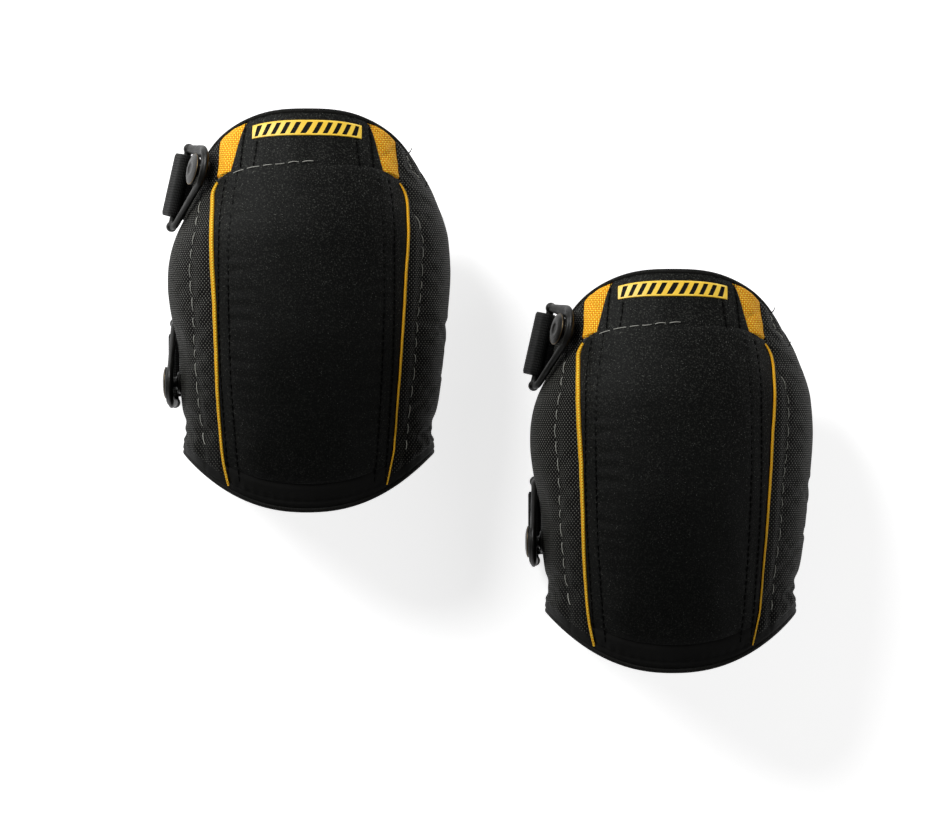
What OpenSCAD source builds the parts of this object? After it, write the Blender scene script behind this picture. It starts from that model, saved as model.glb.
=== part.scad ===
// A pair of strap-on knee pads with soft caps, lying on their backs.
// Each pad's own frame: X across the knee, Y towards the thigh, Z out of the cap,
// with the floor at Z = 0. Both pads are the same, with the buttons on the -X wing.

/* [Pad] */
// Length of the pad along the leg
pad_l = 241; // [225:1:260]
// Width of the pad across the wings
pad_w = 167; // [160:1:176]
// Height of the crown above the floor
crown_h = 106; // [100:1:112]
// Height of the hem above the floor
hem_h = 4; // [3.9:0.1:5]
// Thickness of the woven and coated face fabrics
face_t = 1.2; // [0.8:0.1:1.5]
// Thickness of the foam core
core_t = 8; // [6:0.5:9]
// Thickness of the gel insert under the kneecap
gel_t = 3.5; // [2:0.5:4]
// Thickness of the comfort foam where there is no gel
comfort_t = 7.2; // [6:0.2:8]
// Thickness of the lining
lining_t = 1; // [0.8:0.1:1.4]

/* [Trim] */
// Diameter of the piping cord between cap and wings
piping_d = 2.1; // [1.6:0.1:2.2]
// Diameter of the rolled edge binding
binding_d = 3.6; // [3:0.1:3.6]
// Half the angle that the label covers at the neck
label_angle = 32.5; // [28:0.5:38]

/* [Fasteners] */
// Diameter of a button's head
button_d = 19; // [17:0.5:19]
// Height of a button above the wing
button_h = 10.2; // [10:0.2:11]
// Length of a clip's bar between its knobs' centres
bar_l = 48; // [47:1:52]
// Diameter of a clip's moulded rod
rod_d = 4.6; // [4:0.2:4.8]
// Tilt of the upper button's axis above the floor
upper_tilt = 20; // [16:1:24]

/* [Straps] */
// Width of the elastic webbing
strap_w = 38; // [36:1:38]
// Thickness of the elastic webbing
strap_t = 1.6; // [1.4:0.1:1.6]
// Distance from the clip's bar to the slider's middle
slider_reach = 52; // [46:1:56]

/* [Layout] */
// Distance between the pads across the knee
pitch_x = 218; // [200:1:240]
// Distance between the pads along the leg
pitch_y = 95.7; // [0:0.1:110]

/* [Hidden] */
SIDES = ["left", "right"];
PARTS = [
    "foam_core", "gel_insert", "comfort_foam", "lining",
    "cap_panel", "toe_hem", "neck_panel", "label",
    "button_side_gusset", "strap_side_gusset",
    "button_side_piping", "strap_side_piping",
    "button_wing", "strap_wing", "edge_binding",
    "upper_button", "lower_button", "upper_clip", "lower_clip",
    "upper_strap", "lower_strap", "upper_slider", "lower_slider"
];
$fn = 48;

// The pair is centred on the origin. The buttons stand further out than the
// strap-side wing, so both pads sit a little towards +X.
centre_shift = 3;

// ---- outline and section of a pad ----

// Half the width, and the crown's height above the floor, at stations along the leg
WIDTH = [
    [-120, 76], [-84, 76], [-72, 73.9], [-50, 77.2], [-10, 81.4], [25, 83.6],
    [42, 82.6], [70, 73.4], [90, 65], [105, 58.6], [120, 49]
];
CROWN = [[-120, 80], [-60, 99], [-10, 106], [40, 104], [80, 94], [120, 76]];
width_k = pad_w / 167.2;
length_k = pad_l / 241;
crown_k = crown_h / 106;

// Roundness of the section, 1 for an ellipse and less for a boxier one
section_power = 0.93;
// Height at which the pad is widest, and how far the wings tuck in below it
waist_h = 31;
tuck = 10;
// Angle round the leg, from the crown to the wings' lower edge
wing_end = 113;
// The fabrics stop here from the true outline, and the binding fills the rest
binding_gap = 3.8;
edge_h = hem_h + binding_gap;

// Shallow hollows that the two clips press into the button-side wing
HOLLOWS = [[58, 16, 4.2], [-24, 14, 1.8]];
function hollow(y) = sum([for (h = HOLLOWS) h[2] * exp(-pow((y - h[0]) / h[1], 2))]);
function sum(list, i = 0) = i < len(list) ? list[i] + sum(list, i + 1) : 0;

function half_width(y, side) =
    width_k * lookup(y / length_k, WIDTH) - (side < 0 ? hollow(y) : 0);
function rise(y) = crown_k * lookup(y / length_k, CROWN) - waist_h;

// A point of the pad at an angle round the leg, a station along it, and a depth
function skin(angle, y, depth) =
    let (
        a = abs(angle),
        side = angle < 0 ? -1 : 1,
        w = half_width(y, side) - depth,
        below = max(0, (a - 90) / (wing_end - 90)),
        x = a < 90 ? w * pow(sin(a), section_power) : w - tuck * pow(below, 1.5),
        up = a < 90 ? (rise(y) - depth) * pow(cos(a), section_power) : 0
    )
    [side * x, y, waist_h + up - below * (waist_h - edge_h)];

function skin_normal(angle, y) =
    unit(cross(
        skin(angle + 0.5, y, 0) - skin(angle - 0.5, y, 0),
        skin(angle, y + 0.5, 0) - skin(angle, y - 0.5, 0)
    ));
function unit(v) = v / norm(v);

// The outline: where the pad ends towards the toe and towards the thigh. Its ends lie
// furthest out at the crown, and fall back by toe_fall and thigh_fall towards the wings.
toe_end = -120.6;
toe_fall = 34.6;
toe_roundness = 2.1;
toe_slant = 0.26;
thigh_end = 120.4;
thigh_fall = 75;
thigh_roundness = 2.6;
function toe_y(angle) =
    let (a = abs(angle), bend = pow(sin(min(a, 90)), toe_roundness))
    length_k * (toe_end + toe_fall * bend + max(0, a - 90) * toe_slant);
function thigh_y(angle) =
    length_k * (thigh_end - thigh_fall * pow(abs(angle) / wing_end, thigh_roundness));

// The thigh edge runs aslant on the wings, so the binding's room along Y grows there
mm_per_degree = 1.15;
function aslant(angle) =
    let (a = abs(angle), fall = thigh_y(max(0, a - 1)) - thigh_y(a))
    norm([1, fall / mm_per_degree]);
function thigh_gap(angle) = binding_gap * aslant(angle);

function along(angle, v) =
    let (lo = toe_y(angle) + binding_gap, hi = thigh_y(angle) - thigh_gap(angle))
    lo + (hi - lo) * v;

// ---- the grid that all the layers share ----

// Columns run from -13 to 13. The cap's edge is column 5 and the wing's is column 6.
CAP_COL = 5;
WING_COL = 6;
LAST_COL = 13;
// Rows along the leg, as fractions from toe to thigh
ROWS = [0, 0.055, 0.12, 0.22, 0.33, 0.45, 0.56, 0.66, 0.75, 0.82, 0.87, 0.94, 1];
LAST_ROW = len(ROWS) - 1;
TOE_ROW = 1;
GUSSET_ROW = 9;
NECK_ROW = 10;

// Angle of the cap's and neck's edge, and of the wing's edge beside it
CAP_EDGE = [
    [0, 36.2], [0.12, 42.2], [0.33, 42.1], [0.56, 41.4], [0.66, 43.4], [0.75, 47.4],
    [0.82, 51], [0.87, 41], [1, 41.4]
];
SEAM_ANGLE = 2;
function cap_angle(v) = lookup(v, CAP_EDGE);
function wing_angle(v) =
    v <= ROWS[GUSSET_ROW] ? cap_angle(v) + SEAM_ANGLE
    : lookup(v, [[ROWS[GUSSET_ROW], 53], [ROWS[NECK_ROW], 50.5], [1, 61]]);

function col_angle(col, v) =
    let (c = abs(col), side = col < 0 ? -1 : 1)
    side * (c <= CAP_COL ? cap_angle(v) * c / CAP_COL
        : wing_angle(v) + (wing_end - wing_angle(v)) * (c - WING_COL) / (LAST_COL - WING_COL));

// Behind the face fabric every layer thins towards the bound edge, down to edge_k.
// It is full again this far in: shares of the length at toe and thigh, columns on a wing.
edge_k = 0.2;
thin_toe = 0.12;
thin_thigh = 0.13;
thin_cols = 1.6;
function fullness(col, v) =
    edge_k + (1 - edge_k)
        * min(1, v / thin_toe, (1 - v) / thin_thigh, (LAST_COL - abs(col)) / thin_cols);
function thinned(depth, col, v) =
    depth <= face_t ? depth : face_t + (depth - face_t) * fullness(col, v);

function grid_point(col, v, depth) =
    let (angle = col_angle(col, v))
    skin(angle, along(angle, v), thinned(depth, col, v));

// Two triangles for the quad a, b, c, d, listed clockwise from outside
function quad(a, b, c, d) = [[a, b, c], [a, c, d]];

// A closed layer between two depths, over columns c0 to c1 and the listed rows
module layer(c0, c1, rows, outer, inner) {
    cols = [for (c = [c0:c1]) c];
    n = len(cols);
    m = len(rows);
    top = [for (c = cols) for (v = rows) grid_point(c, v, outer(c, v))];
    low = [for (c = cols) for (v = rows) grid_point(c, v, inner(c, v))];
    o = function(i, j) i * m + j;
    l = function(i, j) n * m + i * m + j;
    faces = [
        for (i = [0:n - 2]) for (j = [0:m - 2]) each concat(
            [[o(i, j), o(i, j + 1), o(i + 1, j + 1)], [o(i, j), o(i + 1, j + 1), o(i + 1, j)]],
            [[l(i, j), l(i + 1, j + 1), l(i, j + 1)], [l(i, j), l(i + 1, j), l(i + 1, j + 1)]]
        ),
        for (i = [0:n - 2]) each concat(
            quad(o(i, 0), o(i + 1, 0), l(i + 1, 0), l(i, 0)),
            quad(o(i, m - 1), l(i, m - 1), l(i + 1, m - 1), o(i + 1, m - 1))
        ),
        for (j = [0:m - 2]) each concat(
            quad(o(0, j), l(0, j), l(0, j + 1), o(0, j + 1)),
            quad(o(n - 1, j), o(n - 1, j + 1), l(n - 1, j + 1), l(n - 1, j))
        )
    ];
    polyhedron(points = concat(top, low), faces = faces);
}

function rows_between(a, b) = [for (i = [a:b]) ROWS[i]];
function flat(depth) = function(col, v) depth;

// ---- padding ----

// Air left between two layers that follow each other
layer_gap = 0.1;
core_top = face_t + layer_gap;
core_low = core_top + core_t;
gel_top = core_low + layer_gap;
comfort_low = gel_top + comfort_t;

GEL_COL = 4;
GEL_ROWS = [4, 8];
// The gel's thickness: full inside its border, thin on it and none outside it
gel_border_k = 0.2;
function gel_swell(col, v) =
    abs(col) > GEL_COL || v < ROWS[GEL_ROWS[0]] || v > ROWS[GEL_ROWS[1]] ? 0
    : abs(col) == GEL_COL || v == ROWS[GEL_ROWS[0]] || v == ROWS[GEL_ROWS[1]]
        ? gel_border_k : 1;

module foam_core() {
    color("dimgray")
        layer(-LAST_COL, LAST_COL, ROWS, flat(core_top), flat(core_low));
}

module gel_insert() {
    low = function(col, v) gel_top + gel_t * gel_swell(col, v);
    color("lightsteelblue")
        layer(-GEL_COL, GEL_COL, rows_between(GEL_ROWS[0], GEL_ROWS[1]), flat(gel_top), low);
}

module comfort_foam() {
    top = function(col, v)
        let (swell = gel_swell(col, v)) gel_top + gel_t * swell + (swell > 0 ? layer_gap : 0);
    color("slategray")
        layer(-LAST_COL, LAST_COL, ROWS, top, flat(comfort_low));
}

module lining() {
    top = comfort_low + layer_gap;
    color("darkslategray")
        layer(-LAST_COL, LAST_COL, ROWS, flat(top), flat(top + lining_t));
}

// ---- face fabrics ----

module face(c0, c1, r0, r1) {
    layer(c0, c1, rows_between(r0, r1), flat(0), flat(face_t));
}

module cap_panel() {
    color("#191b18") face(-CAP_COL, CAP_COL, TOE_ROW, NECK_ROW);
}

module toe_hem() {
    color("#20221f") face(-CAP_COL, CAP_COL, 0, TOE_ROW);
}

module neck_panel() {
    color("#151613") face(-CAP_COL, CAP_COL, NECK_ROW, LAST_ROW);
}

// The label lies on the neck, bent round it
LABEL_ROWS = [0.946, 0.986];
module label() {
    rows = LABEL_ROWS;
    label_t = 0.5;
    lift = 0.15;
    steps = 8;
    angles = [for (i = [0:steps]) label_angle * (2 * i / steps - 1)];
    n = steps + 1;
    points = [
        for (depth = [-lift - label_t, -lift]) for (a = angles) for (v = rows)
            skin(a, along(a, v), depth)
    ];
    o = function(i, j) 2 * i + j;
    l = function(i, j) 2 * n + 2 * i + j;
    faces = [
        for (i = [0:steps - 1]) each concat(
            quad(o(i, 0), o(i, 1), o(i + 1, 1), o(i + 1, 0)),
            quad(l(i, 0), l(i + 1, 0), l(i + 1, 1), l(i, 1)),
            quad(o(i, 0), o(i + 1, 0), l(i + 1, 0), l(i, 0)),
            quad(o(i + 1, 1), o(i, 1), l(i, 1), l(i + 1, 1))
        ),
        each quad(o(0, 1), o(0, 0), l(0, 0), l(0, 1)),
        each quad(o(steps, 0), o(steps, 1), l(steps, 1), l(steps, 0))
    ];
    color("#fbd34f") polyhedron(points = points, faces = faces);
}

module gusset(side) {
    cols = side < 0 ? [-WING_COL, -CAP_COL] : [CAP_COL, WING_COL];
    color("#efbc3a") face(cols[0], cols[1], GUSSET_ROW, LAST_ROW);
}

module wing(side) {
    cols = side < 0 ? [-LAST_COL, -WING_COL] : [WING_COL, LAST_COL];
    color("#292926") face(cols[0], cols[1], 0, LAST_ROW);
}

// ---- piping and binding ----

// A tube through a list of [point, normal] pairs; a loop joins its ends
module tube(path, r, sides, loop = false) {
    n = len(path);
    last = loop ? n : n - 1;
    at = function(k) path[(k + n) % n];
    ahead = function(k) loop || k < n - 1 ? at(k + 1)[0] : path[k][0];
    behind = function(k) loop || k > 0 ? at(k - 1)[0] : path[k][0];
    points = [
        for (k = [0:n - 1])
            let (
                t = unit(ahead(k) - behind(k)),
                b = unit(cross(t, path[k][1])),
                up = cross(b, t)
            )
            for (s = [0:sides - 1])
                path[k][0] + r * (cos(360 * s / sides) * up + sin(360 * s / sides) * b)
    ];
    id = function(k, s) (k % n) * sides + s % sides;
    walls = [
        for (k = [0:last - 1]) for (s = [0:sides - 1])
            each quad(id(k, s), id(k + 1, s), id(k + 1, s + 1), id(k, s + 1))
    ];
    caps = loop ? [] : [
        [for (s = [0:sides - 1]) s],
        [for (s = [sides - 1:-1:0]) id(n - 1, s)]
    ];
    polyhedron(points = points, faces = concat(walls, caps));
}

module piping(side) {
    path = [
        for (i = [0:GUSSET_ROW])
            let (
                v = ROWS[i],
                angle = side * (cap_angle(v) + SEAM_ANGLE / 2),
                y = along(angle, v)
            )
            [skin(angle, y, 0), skin_normal(angle, y)]
    ];
    color("#efbc3a") tube(path, piping_d / 2, 6);
}

// The binding's middle lies half its width outside the fabrics' edges
binding_out = 2.1;
binding_depth = 1.9;
// Along the wings' lower edge it lies this much deeper, and below the fabric
hem_tuck = 0.3;
function corner_drop(col) = [0, 0, abs(col) == LAST_COL ? binding_out : 0];

module edge_binding() {
    cols = [for (c = [-LAST_COL:LAST_COL]) c];
    toe = [
        for (c = cols)
            let (a = col_angle(c, 0))
            [
                skin(a, toe_y(a) + binding_gap - binding_out, binding_depth) - corner_drop(c),
                skin_normal(a, toe_y(a) + 4)
            ]
    ];
    thigh = [
        for (c = cols)
            let (a = col_angle(-c, 1))
            [
                skin(a, thigh_y(a) - thigh_gap(a) + binding_out * aslant(a), binding_depth)
                    - corner_drop(c),
                skin_normal(a, thigh_y(a) - 4)
            ]
    ];
    edge = function(side, v)
        let (y = along(wing_end, v))
        [
            skin(side * wing_end, y, binding_depth + hem_tuck) - [0, 0, binding_out],
            skin_normal(side * (wing_end - 1), y)
        ];
    strap_edge = [for (i = [1:LAST_ROW - 1]) edge(1, ROWS[i])];
    button_edge = [for (i = [LAST_ROW - 1:-1:1]) edge(-1, ROWS[i])];
    color("#1b1b1a")
        tube(concat(toe, strap_edge, thigh, button_edge), binding_d / 2, 6, loop = true);
}

// ---- buttons and clips ----

// Each fastener: [angle round the leg, station, azimuth, tilt above the floor,
// 1 where the clip's long arm points to the toe and -1 where it is turned over]
UPPER = [-64, 83, 167.4, upper_tilt, 1];
LOWER = [-86, -43, 180, -2, -1];

function foot(f) = skin(f[0], f[1], 0);
function outward(f) = [cos(f[3]) * cos(f[2]), cos(f[3]) * sin(f[2]), sin(f[3])];
function pull(f) = [sin(f[3]) * cos(f[2]), sin(f[3]) * sin(f[2]), -cos(f[3])];
function toeward(f) = [-sin(f[2]), cos(f[2]), 0];

// Puts its children at a fastener: local Z out of the wing, local X along the pull
module at_fastener(f) {
    translate(foot(f)) rotate([0, 0, f[2]]) rotate([0, 90 - f[3], 0]) children();
}

head_t = 3.3;
head_low = button_h - head_t;
post_r = 3.4;
module button(f) {
    base_r = 6.5;
    base_t = 1.2;
    rim_t = 1.3;
    head_r = button_d / 2;
    dome = [for (a = [0:15:90]) [head_r * cos(a), head_low + rim_t + (head_t - rim_t) * sin(a)]];
    profile = concat(
        [[0, -1], [base_r, -1], [base_r, base_t - 0.4], [base_r - 0.4, base_t], [post_r, base_t]],
        [[post_r, head_low], [head_r - 0.5, head_low]],
        dome
    );
    color("#343433") at_fastener(f) rotate_extrude() polygon(profile);
}

// The clip is one moulded frame: a nose round the post, two arms and a bar with knobs
clip_up = 4.9;
clip_t = 4;
nose_r = 11.6;
bar_reach = 27;
bar_from = -12;
bar_to = bar_from + bar_l;
bar_mid = (bar_from + bar_to) / 2;
knob_r = 3.3;
// How far the long arm's shoulder stands in from the bar
shoulder_in = 7;

function arc(centre, r, from, to, steps) =
    [for (i = [0:steps]) let (a = from + (to - from) * i / steps) centre + r * [cos(a), sin(a)]];

// A line thickened into a ribbon's outline
function ribbon(line, t) =
    let (
        n = len(line),
        turn = [
            for (i = [0:n - 1])
                let (
                    a = unit(line[min(i + 1, n - 1)] - line[i < n - 1 ? i : i - 1]),
                    b = unit(line[i > 0 ? i : 1] - line[max(i - 1, 0)]),
                    m = unit(a + b),
                    k = 1 / max(0.6, m * a)
                )
                k * [-m[1], m[0]]
        ]
    )
    concat(
        [for (i = [0:n - 1]) line[i] + turn[i] * t / 2],
        [for (i = [n - 1:-1:0]) line[i] - turn[i] * t / 2]
    );

module clip(f) {
    near = [bar_reach, bar_from];
    far = [bar_reach, bar_to];
    shoulder = [bar_reach - shoulder_in, bar_to - 1];
    // The long arm leaves the nose at a tangent
    leave = atan2(shoulder[1], shoulder[0]) + acos(nose_r / norm(shoulder));
    middle = concat([near], arc([0, 0], nose_r, 270, leave, 12), [shoulder, far]);
    turned_over = f[4] < 0 ? 1 : 0;
    color("#494944") at_fastener(f) translate([0, 0, clip_up]) mirror([0, turned_over, 0]) {
        linear_extrude(clip_t, center = true) polygon(ribbon(middle, rod_d));
        translate(near) rotate([-90, 0, 0]) cylinder(d = rod_d, h = bar_l);
        for (end = [near, far]) translate(end) sphere(r = knob_r);
    }
}

// ---- straps and sliders ----

// Middle of a clip's bar
function bar_at(f) =
    foot(f) + bar_reach * pull(f) + f[4] * bar_mid * toeward(f) + clip_up * outward(f);

// Air between two turns of strap, between strap and slider, and at a slot's end
turn_gap = 0.3;
slot_gap = 0.2;
layer_step = strap_t + turn_gap;
low_z = strap_t / 2;
high_z = low_z + layer_step;
// Air between the strap and what it runs round
strap_gap = 0.25;
wrap_r = rod_d / 2 + strap_gap + strap_t / 2;
strap_end = -156;
fold_l = 20;

slider_w = 46;
slider_l = 26;
slider_t = 2.2;
slider_z = high_z + strap_t / 2 + turn_gap;
end_bar = 4;
mid_bar = 4;
slot_l = (slider_l - 2 * end_bar - mid_bar) / 2;

// The strap's middle line, as [distance out from the bar, height]: from the sewn end
// across the floor, up to the bar, round it and back through the slider
function strap_line(bar_z, tilt) =
    let (
        out = [cos(tilt), sin(tilt)],
        down = [sin(tilt), -cos(tilt)],
        bar = [0, bar_z],
        drop = 0.24 * bar_z,
        top = bar + wrap_r * out,
        outer_r = (top[1] - cos(tilt) * drop - low_z) / (1 + sin(tilt)),
        outer_c = top + drop * down - outer_r * out,
        back = bar - wrap_r * out,
        inner_drop = 2,
        inner_r = (back[1] - cos(tilt) * inner_drop - high_z) / (1 + sin(tilt)),
        inner_c = back + inner_drop * down - inner_r * out,
        s = -slider_reach,
        hump = slider_z + slider_t + strap_gap + strap_t / 2,
        slot_end = mid_bar / 2 + slot_l - slot_gap
    )
    concat(
        [[strap_end + fold_l, high_z]],
        arc([strap_end + 1, (low_z + high_z) / 2], layer_step / 2, 90, 270, 4),
        arc(outer_c, outer_r, -90, tilt, 8),
        arc(bar, wrap_r, tilt, tilt + 180, 10),
        arc(inner_c, inner_r, tilt, -90, 8),
        [
            [s + slot_end, high_z],
            [s + mid_bar / 2, hump],
            [s - mid_bar / 2, hump],
            [s - slot_end, high_z],
            [s - slider_l / 2 - 8, high_z]
        ]
    );

// Puts its children at a clip's bar: local X outward along the floor, local Z up
module at_bar(f) {
    b = bar_at(f);
    translate([b[0], b[1], 0]) rotate([0, 0, f[2]]) children();
}

module strap(f) {
    color("#272827") at_bar(f) rotate([90, 0, 0])
        linear_extrude(strap_w, center = true)
            polygon(ribbon(strap_line(bar_at(f)[2], f[3]), strap_t));
}

module slider(f) {
    corner = 3;
    color("#2b2b2a") at_bar(f) translate([-slider_reach, 0, slider_z]) difference() {
        union() {
            translate([-slider_l / 2, -slider_w / 2 + corner, 0])
                cube([slider_l, slider_w - 2 * corner, slider_t]);
            translate([-slider_l / 2 + corner, -slider_w / 2, 0])
                cube([slider_l - 2 * corner, slider_w, slider_t]);
            for (x = [-1, 1]) for (y = [-1, 1])
                translate([x * (slider_l / 2 - corner), y * (slider_w / 2 - corner), 0])
                    cylinder(r = corner, h = slider_t);
        }
        for (x = [-1, 1])
            translate([x * (mid_bar + slot_l) / 2, 0, slider_t / 2])
                cube([slot_l, strap_w + 1, 2 * slider_t], center = true);
    }
}

// ---- the pair ----

module at_pad(side) {
    k = side == "left" ? -1 : 1;
    translate([centre_shift + k * pitch_x / 2, -k * pitch_y / 2, 0]) children();
}

module piece(part) {
    if (part == "foam_core") foam_core();
    if (part == "gel_insert") gel_insert();
    if (part == "comfort_foam") comfort_foam();
    if (part == "lining") lining();
    if (part == "cap_panel") cap_panel();
    if (part == "toe_hem") toe_hem();
    if (part == "neck_panel") neck_panel();
    if (part == "label") label();
    if (part == "button_side_gusset") gusset(-1);
    if (part == "strap_side_gusset") gusset(1);
    if (part == "button_side_piping") piping(-1);
    if (part == "strap_side_piping") piping(1);
    if (part == "button_wing") wing(-1);
    if (part == "strap_wing") wing(1);
    if (part == "edge_binding") edge_binding();
    if (part == "upper_button") button(UPPER);
    if (part == "lower_button") button(LOWER);
    if (part == "upper_clip") clip(UPPER);
    if (part == "lower_clip") clip(LOWER);
    if (part == "upper_strap") strap(UPPER);
    if (part == "lower_strap") strap(LOWER);
    if (part == "upper_slider") slider(UPPER);
    if (part == "lower_slider") slider(LOWER);
}

for (side = SIDES)
    for (part = PARTS)
        at_pad(side) piece(part);
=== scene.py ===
"""Looks for a pair of strap-on knee pads: sewn covers over padding, clips and webbing.

Every size is in metres. A pad is built once, in its own frame (X across the knee,
Y towards the thigh, Z out of the cap, floor at Z = 0), and placed at both pads.
"""

import math

import bmesh
import bpy
import numpy as np
from mathutils import Matrix, Vector


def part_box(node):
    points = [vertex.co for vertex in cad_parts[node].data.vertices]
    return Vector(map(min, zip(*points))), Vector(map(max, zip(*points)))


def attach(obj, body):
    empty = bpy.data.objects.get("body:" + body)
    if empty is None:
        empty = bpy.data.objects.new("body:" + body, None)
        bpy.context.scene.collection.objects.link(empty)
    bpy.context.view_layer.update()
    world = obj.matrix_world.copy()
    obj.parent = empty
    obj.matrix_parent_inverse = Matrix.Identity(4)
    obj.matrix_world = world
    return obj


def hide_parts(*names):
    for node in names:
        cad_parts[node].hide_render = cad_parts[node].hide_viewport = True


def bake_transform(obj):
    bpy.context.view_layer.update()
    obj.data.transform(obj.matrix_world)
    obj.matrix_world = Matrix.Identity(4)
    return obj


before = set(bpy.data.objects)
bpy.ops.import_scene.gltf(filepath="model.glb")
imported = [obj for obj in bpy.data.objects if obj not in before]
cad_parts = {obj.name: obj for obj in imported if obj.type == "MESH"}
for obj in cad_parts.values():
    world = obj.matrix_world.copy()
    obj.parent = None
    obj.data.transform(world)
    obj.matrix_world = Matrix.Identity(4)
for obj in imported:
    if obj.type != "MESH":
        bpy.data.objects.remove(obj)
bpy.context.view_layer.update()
SIDES = ("left", "right")
random = np.random.default_rng(7)

# ---- the pad's shape, as in the CAD model ----

WIDTH = [
    (-0.120, 0.076), (-0.084, 0.076), (-0.072, 0.0739), (-0.050, 0.0772), (-0.010, 0.0814),
    (0.025, 0.0836), (0.042, 0.0826), (0.070, 0.0734), (0.090, 0.065), (0.105, 0.0586),
    (0.120, 0.049),
]
CROWN = [
    (-0.120, 0.080), (-0.060, 0.099), (-0.010, 0.106), (0.040, 0.104), (0.080, 0.094),
    (0.120, 0.076),
]
# The cap's edges, as (y, x), on the button side (-1) and on the strap side (1)
CAP_EDGE = {
    -1: [
        (-0.113, 0.0434), (-0.105, 0.0462), (-0.078, 0.0508), (-0.043, 0.0527), (0.001, 0.0540),
        (0.027, 0.0555), (0.053, 0.0560), (0.072, 0.0558), (0.086, 0.0555),
    ],
    1: [
        (-0.113, 0.0455), (-0.1005, 0.0480), (-0.082, 0.0515), (-0.052, 0.0538), (-0.017, 0.0565),
        (0.018, 0.0585), (0.045, 0.0600), (0.062, 0.0595), (0.073, 0.0580), (0.086, 0.0570),
    ],
}
# Above the shoulder, the wings' edges beside the yellow gussets, as (y, x)
WING_EDGE = {
    -1: [
        (0.073, 0.0575), (0.078, 0.0540), (0.086, 0.0530), (0.0975, 0.0528), (0.110, 0.0505),
        (0.117, 0.0475),
    ],
    1: [
        (0.073, 0.0592), (0.078, 0.0553), (0.086, 0.0540), (0.096, 0.0530), (0.106, 0.0519),
        (0.117, 0.0480),
    ],
}
NECK_EDGE = [(0.80, 41.3), (0.87, 41), (1, 41.4)]
# Where rows of dark stitches run along both sides of the cap and of the neck, as (y, x)
CAP_ROWS = [
    [
        (-0.110, 0.0455), (-0.097, 0.0470), (-0.061, 0.0497), (-0.026, 0.0517), (0.010, 0.0524),
        (0.045, 0.0522), (0.070, 0.0500), (0.081, 0.0476),
    ],
    [
        (-0.110, 0.0392), (-0.097, 0.0407), (-0.061, 0.0437), (-0.026, 0.0455), (0.010, 0.0462),
        (0.045, 0.0456), (0.070, 0.0430), (0.083, 0.0408),
    ],
]
NECK_ROWS = [
    [(0.083, 0.0399), (0.097, 0.0386), (0.116, 0.0362)],
    [(0.083, 0.0322), (0.097, 0.0300), (0.102, 0.0296)],
]
SECTION_POWER = 0.93
WAIST_H = 0.031
# How far the wings' edges tuck in below the waist, and their height off the floor
TUCK = 0.010
EDGE_H = 0.0078
# The wings' edges, in degrees round the leg from the crown
WING_END = 113
BINDING_GAP = 0.0038
# The share of the pad's length that a panel runs on past each end, under the rolled edge
UNDER = 0.006
PAD_RUN = 0.2334
# Hollows that the fasteners pull into the button-side wing, as (station, half length, depth)
HOLLOWS = [(0.058, 0.016, 0.0042), (-0.024, 0.014, 0.0018)]
RUN_PER_DEGREE = 0.00115
FACE_T = 0.0012
# Lines on the pad are worked out this far past both of their ends
PAST_ENDS = 0.004
# Where the pad ends at the crown, how far the end draws in round the leg, and by what power
TOE = (-0.1206, 0.0346, 2.1)
THIGH = (0.1204, 0.075, 2.6)
# Below the waist, the toe edge draws in by this much for each degree
TOE_RISE = 0.00026
# How far a panel dips under the rolled edge, and the run over which it does
EDGE_DIP = 0.0008
EDGE_DIP_RUN = 0.0025


def clamp(value):
    return np.clip(value, 0, 1)


def ease(t):
    """A share from 0 to 1 with a smooth start and end."""
    return t * t * (3 - 2 * t)


def smooth_curve(points):
    """A smooth curve through (x, y) points that doesn't overshoot them."""
    x, y = np.array(points, float).T
    step = np.diff(x)
    slope = np.diff(y) / step
    m = np.concatenate([slope[:1], np.zeros(len(x) - 2), slope[-1:]])
    for i in range(1, len(x) - 1):
        if slope[i - 1] * slope[i] > 0:
            a, b = 2 * step[i] + step[i - 1], step[i] + 2 * step[i - 1]
            m[i] = (a + b) / (a / slope[i - 1] + b / slope[i])

    def value(at):
        at = np.clip(at, x[0], x[-1])
        i = np.clip(np.searchsorted(x, at, side="right") - 1, 0, len(step) - 1)
        t, h = (at - x[i]) / step[i], step[i]
        rising = ease(t) * y[i + 1] + t * t * (t - 1) * h * m[i + 1]
        return (1 + 2 * t) * (1 - t) ** 2 * y[i] + t * (1 - t) ** 2 * h * m[i] + rising

    return value


width_at = smooth_curve(WIDTH)
crown_at = smooth_curve(CROWN)
neck_angle = smooth_curve(NECK_EDGE)


def half_width(y, side):
    hollow = sum(depth * np.exp(-(((y - at) / wide) ** 2)) for at, wide, depth in HOLLOWS)
    return width_at(y) - np.where(side < 0, hollow, 0)


def skin(angle, y, depth=0.0):
    """Points of the pad at angles round the leg, stations along it and depths."""
    angle, y, depth = np.broadcast_arrays(angle, y, depth)
    a = np.radians(np.minimum(np.abs(angle), 90))
    side = np.where(angle < 0, -1.0, 1.0)
    below = np.clip((np.abs(angle) - 90) / (WING_END - 90), 0, None)
    x = (half_width(y, side) - depth) * np.sin(a) ** SECTION_POWER - TUCK * below**1.5
    up = (crown_at(y) - WAIST_H - depth) * clamp(np.cos(a)) ** SECTION_POWER
    up = np.where(np.abs(angle) < 90, up, 0)
    return np.stack([side * x, y, WAIST_H + up - below * (WAIST_H - EDGE_H)], -1)


def unit(v):
    return v / np.linalg.norm(v, axis=-1, keepdims=True)


def normal(angle, y):
    across = skin(angle + 0.5, y) - skin(angle - 0.5, y)
    along_leg = skin(angle, y + 0.0005) - skin(angle, y - 0.0005)
    return unit(np.cross(across, along_leg))


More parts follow.
